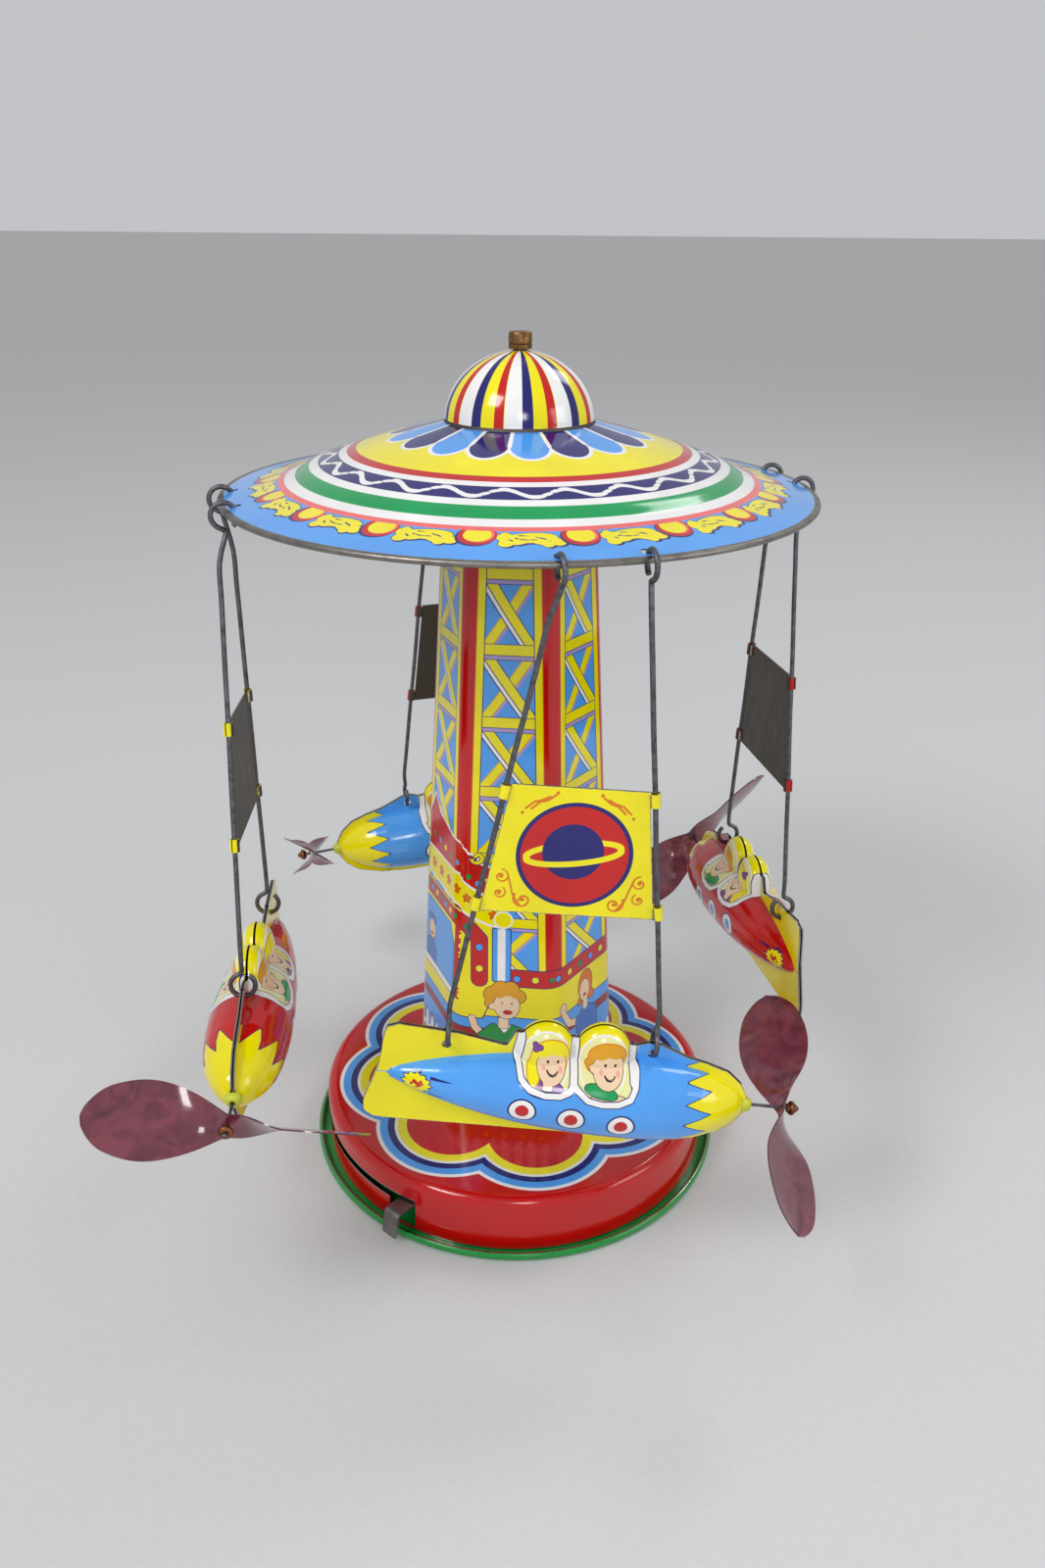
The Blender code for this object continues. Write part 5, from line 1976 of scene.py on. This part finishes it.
@dataclass
class Airscrew:
    """Two twisted celluloid blades with a copper bead in front, on a headed wire axle."""

    reach: float = 38.8
    hub_s: float = 12.0
    twist: float = 52.0
    thickness: float = 0.4
    rows: int = 121
    columns: int = 25

    def blades(self) -> bpy.types.Object:
        """Draw both blades from one strip, twist and cup them, in the propeller's own frame.

        Returns:
            The propeller.
        """
        k = np.linspace(-1, 1, self.rows)
        share = np.abs(k)
        half = 3.2 + 7.8 * np.sin(math.pi * (0.05 + 0.8 * share)) ** 1.4
        tip = np.clip((share - 0.8) / 0.2, 0, 1)
        half = np.maximum(half * np.sqrt(np.maximum(1 - tip**2.4, 0)), 0.12)
        angle = np.radians(self.twist) * np.sin(np.minimum(1.0, share * 2.4) * math.pi / 2)
        j = np.linspace(-1, 1, self.columns)
        cup = -0.5 * (1 - j[None, :] ** 2) * np.clip(share * 3, 0, 1)[:, None]
        across_x, across_z = np.sin(angle) * np.sign(k), np.cos(angle)
        x = (half * across_x)[:, None] * j + cup * np.cos(angle)[:, None]
        z = (half * across_z)[:, None] * j - cup * (np.sin(angle) * np.sign(k))[:, None]
        y = np.repeat((self.reach * k)[:, None], self.columns, axis=1)
        blade = sheet("airscrew_master", self.columns, self.rows)
        move_to(blade, np.column_stack([x.ravel(), y.ravel(), z.ravel()]))
        wall(blade, self.thickness, 0.0)
        dress(blade, FILM)
        smooth(blade, 60)
        return blade

    def bead(self) -> bpy.types.Object:
        """Turn the copper bead round Z, to be laid along X when it is copied."""
        section = [(0.55, 13.5), (1.3, 13.45)] + arc(
            1.15, 14.8, 0.95, -75, 75, 10
        ) + [(1.2, 16.15), (0.55, 16.1)]
        return turned("bead_master", section, 32)

    def axle(self) -> bpy.types.Object:
        """Turn the wire axle with its inner head and its riveted outer end.

        Returns:
            The piece.
        """
        end = self.hub_s + 5.0
        section = [
            (0.0, -7.2), (1.5, -7.2), (1.6, -6.7), (0.9, -6.3), (0.5, -5.8)
        ] + chain([(0.5, -5.6), (0.5, 15.9)], 4.0)
        section += [(0.5, 16.2), (0.85, 16.3), (0.8, end - 0.35), (0.4, end), (0.0, end)]
        return turned("axle_master", section, 24)

    def bush(self) -> bpy.types.Object:
        """Turn the moulded nose bush."""
        section = [
            (0.75, -5.2), (2.3, -5.2), (2.4, -5.0), (2.4, 0.2), (2.34, 0.9), (2.1, 1.5), (1.7, 2.05),
            (1.2, 2.35), (0.8, 2.4), (0.72, 2.1)
        ]
        return turned("bush_master", section, 40)


@dataclass
class Flag:
    """Printed sheet flag between two hanging wires, its four corner tabs rolled round them."""

    livery: Ink
    top: float = 58.0
    foot: float = 96.0
    wire_top: Point = (12.6, 14.0)
    wire_foot: Point = (29.6, 126.85)
    wire_r: float = 0.75
    thickness: float = 0.36

    def wire_x(self, depth: Field | float) -> Field | float:
        """Half distance in mm between the wires at a depth below the hooks."""
        share = (depth - self.wire_top[1]) / (self.wire_foot[1] - self.wire_top[1])
        return self.wire_top[0] + share * (self.wire_foot[0] - self.wire_top[0])

    def build(self, name: str) -> bpy.types.Object:
        """Cut, roll and print the flag in the wires' own plane, X forward, Y inward and Z up.

        Args:
            name: the piece's name.

        Returns:
            The flag.
        """
        columns, rows = 108, 92
        depth = np.linspace(self.foot, self.top, rows)
        half = self.wire_x(depth) - self.wire_r - 0.5
        x = half[:, None] * np.linspace(-1, 1, columns)
        z = -np.repeat(depth[:, None], columns, axis=1)
        sag = -0.12 * np.sin(np.linspace(0, math.pi, rows))[:, None] * np.cos(np.linspace(-1.5, 1.5, columns))
        flag = sheet(name, columns, rows)
        move_to(flag, np.column_stack([x.ravel(), sag.ravel(), z.ravel()]))
        _, normals = face_facts(flag)
        if normals[:, 1].mean() > 0:
            flag.data.flip_normals()
        wall(flag, self.thickness, 0.0)
        tabs = [self.tab(side, at) for side in (-1, 1) for at in (self.top + 2.2, self.foot - 2.2)]
        only(flag)
        for tab in tabs:
            tab.select_set(True)
        bpy.ops.object.join()
        self.print(flag)
        smooth(flag, 46)
        return flag

    def tab(self, side: int, depth: float) -> bpy.types.Object:
        """Roll one tab round its wire, with a lip that runs back to the sheet.

        Args:
            side: 1 forward, -1 back.
            depth: depth below the hooks in mm.

        Returns:
            The piece.
        """
        near, far = self.wire_r + 0.28, self.wire_r + 0.72
        outer = arc(0, 0, far, 195, -150, 26)
        inner = arc(0, 0, near, -150, 195, 26)
        outline = outer + inner
        only()
        bpy.ops.mesh.primitive_circle_add(vertices=len(outline), radius=MM, fill_type="NGON")
        obj = bpy.context.object
        move_to(obj, [(-side * px, py, -1.9) for px, py in outline])
        bpy.ops.object.mode_set(mode="EDIT")
        bpy.ops.mesh.select_all(action="SELECT")
        bpy.ops.mesh.extrude_region_move(TRANSFORM_OT_translate={"value": (0, 0, 3.8 * MM)})
        bpy.ops.mesh.select_all(action="SELECT")
        bpy.ops.mesh.normals_make_consistent(inside=False)
        bpy.ops.object.mode_set(mode="OBJECT")
        tilt = math.atan2(self.wire_x(self.foot) - self.wire_x(self.top), self.foot - self.top) * side
        laid(
            obj,
            Matrix.Translation(
                (side * self.wire_x(depth) * MM, 0, -depth * MM)
            ) @ Matrix.Rotation(-tilt, 4, "Y")
        )
        return obj

    def print(self, flag: bpy.types.Object) -> None:
        """Print a ringed planet on a disc, with small scrolls in the corners.

        Args:
            flag: the flag.
        """
        points = places(flag)
        x, z = points[:, 0], points[:, 2] + (self.top + self.foot) / 2
        ground, spot, mark = (
            Ink.YELLOW, Ink.RED, Ink.ORANGE
        ) if self.livery is Ink.YELLOW else (Ink.RED, Ink.YELLOW, Ink.GOLD)
        art = Artwork(flag, ground)
        art.lay(Ink.NAVY, disc(x, z, 0.3, -0.8, 15.6))
        art.lay(spot, disc(x, z, 0.3, -0.8, 14.4))
        ring = np.abs(oval(x, z, 0.0, -0.2, 12.6, 3.0, 9.0)) - 0.85
        band = Ink.YELLOW if spot is Ink.RED else Ink.RED
        art.lay(band, ring)
        art.lay(Ink.NAVY, disc(x, z, -0.2, 0.3, 8.2))
        c, n = math.cos(math.radians(9)), math.sin(math.radians(9))
        below = (z + 0.2) * c - x * n
        art.lay(band, np.maximum(ring, below + 0.2))
        art.lay(mark, self.scrolls(x, z))
        edge = np.minimum(
            np.abs(np.abs(x) - (self.wire_x(-points[:, 2]) - self.wire_r - 0.5)),
            np.minimum(points[:, 2] + self.foot, -self.top - points[:, 2])
        )
        art.finish(f"flag_litho_tin_{self.livery.name.lower()}", np.abs(edge) + 0.1, 0.3)
        # The back face takes the darker inside tin: a painted reflection of the dark room on the bare tin.
        _, normals = face_facts(flag)
        line_inside(flag, INSIDE_SHADE_TIN, normals[:, 1] > 0.6)

    def scrolls(self, x: Field, z: Field) -> Field:
        """Light curls towards the corners, the lower pair fuller than the upper.

        Args:
            x: place across in mm.
            z: place up in mm.

        Returns:
            Signed distance in mm.
        """
        parts = []
        for side in (-1, 1):
            m = side * x
            for shift in (0.0, 1.5):
                parts.append(
                    line(
                        m, z,
                        [
                            (6.2 + shift, 16.6 - shift * 0.4), (8.2 + shift, 14.9), (10.2 + shift, 14.3),
                            (12.4 + shift, 12.2)
                        ],
                        0.3
                    )
                )
            parts.append(disc(m, z, 5.8, 17.2, 0.5))
            parts.append(disc(m, z, 14.6, 11.0, 0.5))
            parts.append(curl(m, z, 18.6, -8.2, 2.2, 90, 420, 0.26))
            parts.append(curl(m, z, 18.8, -13.2, 1.9, 120, 400, 0.26))
            parts.append(curl(m, z, 12.4, -15.0, 2.7, 40, -420, 0.28))
            parts.append(line(m, z, [(17.0, -7.2), (16.0, -10.4), (15.2, -13.6), (13.0, -16.8)], 0.28))
            parts += [
                disc(m, z, 18.6, -8.2, 0.55), disc(m, z, 18.8, -13.2, 0.55), disc(m, z, 12.4, -15.0, 0.6)
            ]
        return union(*parts)


@dataclass
class Hanger:
    """Two bent wires, each with an upper eye through the canopy's rim and a lower one through the rocket."""

    eye_r: float = 3.65
    hook_half: float = 11.4
    eye_half: float = 29.6
    drop: float = 136.5
    radius: float = 0.75

    def eye(self, x: float, z: float, up: bool) -> list[Vector]:
        """Points of a wire eye from its free end to its stem.

        Args:
            x: its place along the rocket in mm.
            z: its height in mm.
            up: whether it is the upper eye.

        Returns:
            The points in mm.
        """
        sign = 1 if up else -1
        loop = [math.radians(-52 + 33 * i / 3) for i in range(28)]
        points = [Vector((x, self.eye_r * math.cos(a), z + sign * self.eye_r * math.sin(a))) for a in loop]
        return points + [
            Vector((x, -0.35, z - sign * (self.eye_r + 0.35))),
            Vector((x, 0.0, z - sign * (self.eye_r + 1.5)))
        ]

    def wire(self, name: str, side: int, still: Matrix, bent: Matrix) -> bpy.types.Object:
        """Bend one wire.

        Args:
            name: the piece's name.
            side: 1 for the wire towards the nose, -1 for the one towards the tail.
            still: frame of the hook rings.
            bent: frame of the wires' own plane.

        Returns:
            The wire, in place.
        """
        to_bent = bent.inverted() @ still
        x0, x1 = side * self.hook_half, side * self.eye_half
        upper = [to_bent @ (p * MM) / MM for p in self.eye(x0, 0.0, True)]
        lower = self.eye(x1, -self.drop, False)
        top, foot = Vector((x0 + side * 1.2, 0, -14.0)), Vector((x1, 0, -self.drop + self.eye_r + 6.0))
        straight = []
        for i in range(13):
            t = i / 12
            sway = 0.09 * math.sin(t * 17 + side) * math.sin(math.pi * t)
            straight.append(top.lerp(foot, t) + Vector((sway, 0.6 * sway, 0)))
        path = fluent(upper + straight + lower[::-1], 3)
        wire = rod(name, path, self.radius)
        dress(wire, WIRE)
        return laid(wire, bent)


@dataclass
class RocketRide:
    """One rocket with its hanger, flag and airscrew, placed by the frame's own joints."""

    name: str
    livery: Livery
    flag_ink: Ink
    blade_angle: float
    joints: dict[str, dict]

    def joint(self, part: str) -> tuple[Vector, Vector]:
        """Place and axis of one of this rocket's joints."""
        found = self.joints[f"{self.name}_{part}"]
        return Vector(found["pos_m"]), Vector(found["axis"]).normalized()

    def frames(self) -> tuple[Matrix, Matrix, Matrix]:
        """Frames of the hook rings, of the wires' plane and of the rocket, each with X forward and Z up.

        Returns:
            The three frames.
        """
        hook, swing = self.joint("hanger_swing")
        _, tilt = self.joint("rocket_tilt")
        hub, spin = self.joint("propeller_spin")
        made = []
        for axis, spot in ((-swing, hook), (-tilt, hook), (spin, hub - spin * Airscrew.hub_s * MM)):
            inward = Vector((0, 0, 1)).cross(axis).normalized()
            made.append(
                Matrix.Translation(spot) @ Matrix((axis, inward, axis.cross(inward))).transposed().to_4x4()
            )
        return made[0], made[1], made[2]

    def hooks(self) -> list[Vector]:
        """Centres in mm of the two hook rings."""
        still = self.frames()[0]
        return [still @ Vector((side * 11.4 * MM, 0, 0)) / MM for side in (-1, 1)]

    def build(
        self, halves: dict[Livery, bpy.types.Object], flags: dict[Ink, bpy.types.Object],
        small: dict[str, bpy.types.Object]
    ) -> None:
        """Copy the shared pressings into place and bend the wires.

        Args:
            halves: one printed half for each livery.
            flags: one flag for each ground colour.
            small: the airscrew's master pieces by name.
        """
        still, bent, rocket = self.frames()
        name, colour = self.name, f"tin_{self.livery.name.lower()}"
        hanger = Hanger()
        for end, side in (("fore", 1), ("aft", -1)):
            wire = hanger.wire(f"{name}_{end}_wire_bent", side, still, bent)
            register(wire, f"{name}_hanger", "steel_wire", f"{name}_{end}_wire")
        flag = copied(flags[self.flag_ink], f"{name}_flag_sheet", bent)
        register(flag, f"{name}_hanger", f"tin_{self.flag_ink.name.lower()}", f"{name}_flag")
        mirror = Matrix.Diagonal((1, -1, 1, 1))
        outer = copied(halves[self.livery], f"{name}_rocket_outer_pressing", rocket)
        inner = copied(halves[self.livery], f"{name}_rocket_inner_pressing", rocket @ mirror)
        register(outer, f"{name}_rocket", colour, f"{name}_rocket_outer_shell")
        register(inner, f"{name}_rocket", colour, f"{name}_rocket_inner_shell")
        lay = Matrix(((0, 0, 1, 0), (0, 1, 0, 0), (-1, 0, 0, 0), (0, 0, 0, 1)))
        bush = copied(small["bush"], f"{name}_nose_bush_moulded", rocket @ lay)
        register(bush, f"{name}_rocket", "bush_plastic", f"{name}_nose_bush")
        axle = copied(small["axle"], f"{name}_airscrew_axle", rocket @ lay)
        register(axle, f"{name}_airscrew", "steel_wire", f"{name}_propeller_axle")
        bead = copied(small["bead"], f"{name}_airscrew_bead", rocket @ lay)
        register(bead, f"{name}_airscrew", "brass_turned", f"{name}_hub_bead")
        turn = Matrix.Translation((12.0 * MM, 0, 0)) @ Matrix.Rotation(math.radians(self.blade_angle), 4, "X")
        blades = copied(small["blades"], f"{name}_airscrew_blades", rocket @ turn)
        register(blades, f"{name}_airscrew", "celluloid", f"{name}_propeller")


# ------------------------------------------------------------------ works and stage


@dataclass
class Works:
    """The lever and the parts inside the drum, which keep the frame's own shapes."""

    nodes: dict[str, bpy.types.Object]
    edge: float = 0.14

    def build(self) -> None:
        """Give the lever eased edges and every other inner piece its finish."""
        source = self.nodes["lever"]
        lever = source.copy()
        lever.data = source.data.copy()
        lever.name = lever.data.name = "lever_blanked"
        bpy.context.scene.collection.objects.link(lever)
        for key in list(lever.keys()):
            del lever[key]
        only(lever)
        bpy.ops.object.mode_set(mode="EDIT")
        bpy.ops.mesh.select_all(action="SELECT")
        bpy.ops.mesh.remove_doubles(threshold=0.002 * MM)
        bpy.ops.mesh.normals_make_consistent(inside=False)
        bpy.ops.object.mode_set(mode="OBJECT")
        rounded(lever, self.edge, 2)
        smooth(lever, 30)
        dress(lever, STEEL)
        register(lever, "lever", "steel_sheet", "lever")
        finishes = {
            "tower_top_plate": BARE_TIN, "top_bearing_bush": BRASS, "foot_bearing": STEEL,
            "bearing_bridge": STEEL, "lever_pin": WIRE, "spring_post": WIRE, "return_spring": WIRE,
            "drive_pinion": BRASS, "pawl": STEEL, "ratchet_wheel": BRASS, "canopy_hub": STEEL
        }
        for name, finish in finishes.items():
            slots = self.nodes[name].material_slots
            for slot in slots:
                slot.material = finish.material()
            LOG.info("%s keeps its shape, finished as %s", name, finish.name)


@dataclass
class Studio:
    """Pale floor, soft lights and the camera."""

    camera_at: tuple[float, float, float] = (0.0, -0.3698, 0.3087)
    pitch: float = 0.4328
    yaw: float = 0.0046
    roll: float = 0.0084
    lens: float = 28.02

    def build(self) -> None:
        """Set the floor, the lights and the camera."""
        only()
        bpy.ops.mesh.primitive_plane_add(size=60.0, location=(0, 0, -0.0002))
        floor = bpy.context.object
        floor.name = "floor"
        made, tree, shader = blank_material("pale_card_floor")
        place = node(tree, "ShaderNodeTexCoord").outputs["Object"]
        grain = node(tree, "ShaderNodeTexNoise", {"Vector": place, "Scale": 400.0, "Detail": 3.0})
        tone = node(tree, "ShaderNodeMapRange", {"Value": grain.outputs[0], 3: 0.6, 4: 0.66})
        tree.links.new(tone.outputs[0], shader.inputs["Base Color"])
        shader.inputs["Roughness"].default_value = 0.7
        floor.data.materials.append(made)
        self.light("key_softbox", (-0.7, -0.65, 1.1), 0.4, 7.2)
        self.light("fill_softbox", (1.0, -0.5, 0.55), 0.5, 2.4)
        self.light("front_softbox", (0.1, -1.1, 0.62), 0.22, 1.9)
        self.light("back_softbox", (0.85, 0.75, 1.35), 0.5, 4.2)
        world = bpy.data.worlds.new("pale_room")
        world.use_nodes = True
        sky = world.node_tree.nodes["Background"]
        sky.inputs[0].default_value = linear("#e9ebee")
        sky.inputs[1].default_value = 0.66
        bpy.context.scene.world = world
        bpy.context.scene.view_settings.view_transform = "Standard"
        data = bpy.data.cameras.new("camera")
        data.sensor_fit, data.sensor_height, data.sensor_width = "VERTICAL", 36.0, 24.0
        data.lens, data.clip_start = self.lens, 0.01
        camera = bpy.data.objects.new("camera", data)
        bpy.context.scene.collection.objects.link(camera)
        turn = Matrix.Rotation(-self.yaw, 4, "Z") @ Matrix.Rotation(
            math.pi / 2 - self.pitch, 4, "X"
        ) @ Matrix.Rotation(self.roll, 4, "Z")
        camera.matrix_world = Matrix.Translation(self.camera_at) @ turn
        bpy.context.scene.camera = camera

    def light(self, name: str, at: tuple[float, float, float], size: float, power: float) -> None:
        """Add one square softbox that looks at the toy's middle.

        Args:
            name: its name.
            at: its place in metres.
            size: its side in metres.
            power: its power in watts.
        """
        data = bpy.data.lights.new(name, "AREA")
        data.shape, data.size, data.energy = "SQUARE", size, power
        obj = bpy.data.objects.new(name, data)
        bpy.context.scene.collection.objects.link(obj)
        aim = Vector((0, 0, 0.13)) - Vector(at)
        obj.matrix_world = Matrix.Translation(at) @ aim.to_track_quat("-Z", "Y").to_matrix().to_4x4()


def main() -> None:
    """Load the frame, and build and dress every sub-assembly round it."""
    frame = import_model()
    logging.basicConfig(level=logging.INFO, format="%(message)s")
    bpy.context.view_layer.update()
    Studio().build()
    Base().build()
    Tower().build()
    joints = {joint["name"]: joint for joint in frame["joints"]}
    rides = [
        RocketRide("front", Livery.BLUE, Ink.YELLOW, 22.0, joints),
        RocketRide("right", Livery.RED, Ink.RED, -43.0, joints),
        RocketRide("back", Livery.BLUE, Ink.RED, 30.0, joints),
        RocketRide("left", Livery.RED, Ink.YELLOW, -8.0, joints),
    ]
    Canopy().build([spot for ride in rides for spot in ride.hooks()])
    halves = {livery: RocketPressing(livery).build(f"half_master_{livery.name.lower()}") for livery in Livery}
    flags = {ink: Flag(ink).build(f"flag_master_{ink.name.lower()}") for ink in (Ink.YELLOW, Ink.RED)}
    airscrew = Airscrew()
    small = {
        "blades": airscrew.blades(), "bead": airscrew.bead(), "axle": airscrew.axle(),
        "bush": airscrew.bush()
    }
    dress(small["bead"], COPPER)
    dress(small["axle"], WIRE)
    dress(small["bush"], POLYTHENE)
    for ride in rides:
        ride.build(halves, flags, small)
    for master in [*halves.values(), *flags.values(), *small.values()]:
        bpy.data.objects.remove(master)
    Works(frame["nodes"]).build()
    bpy.context.view_layer.update()


if __name__ == "__main__":
    main()
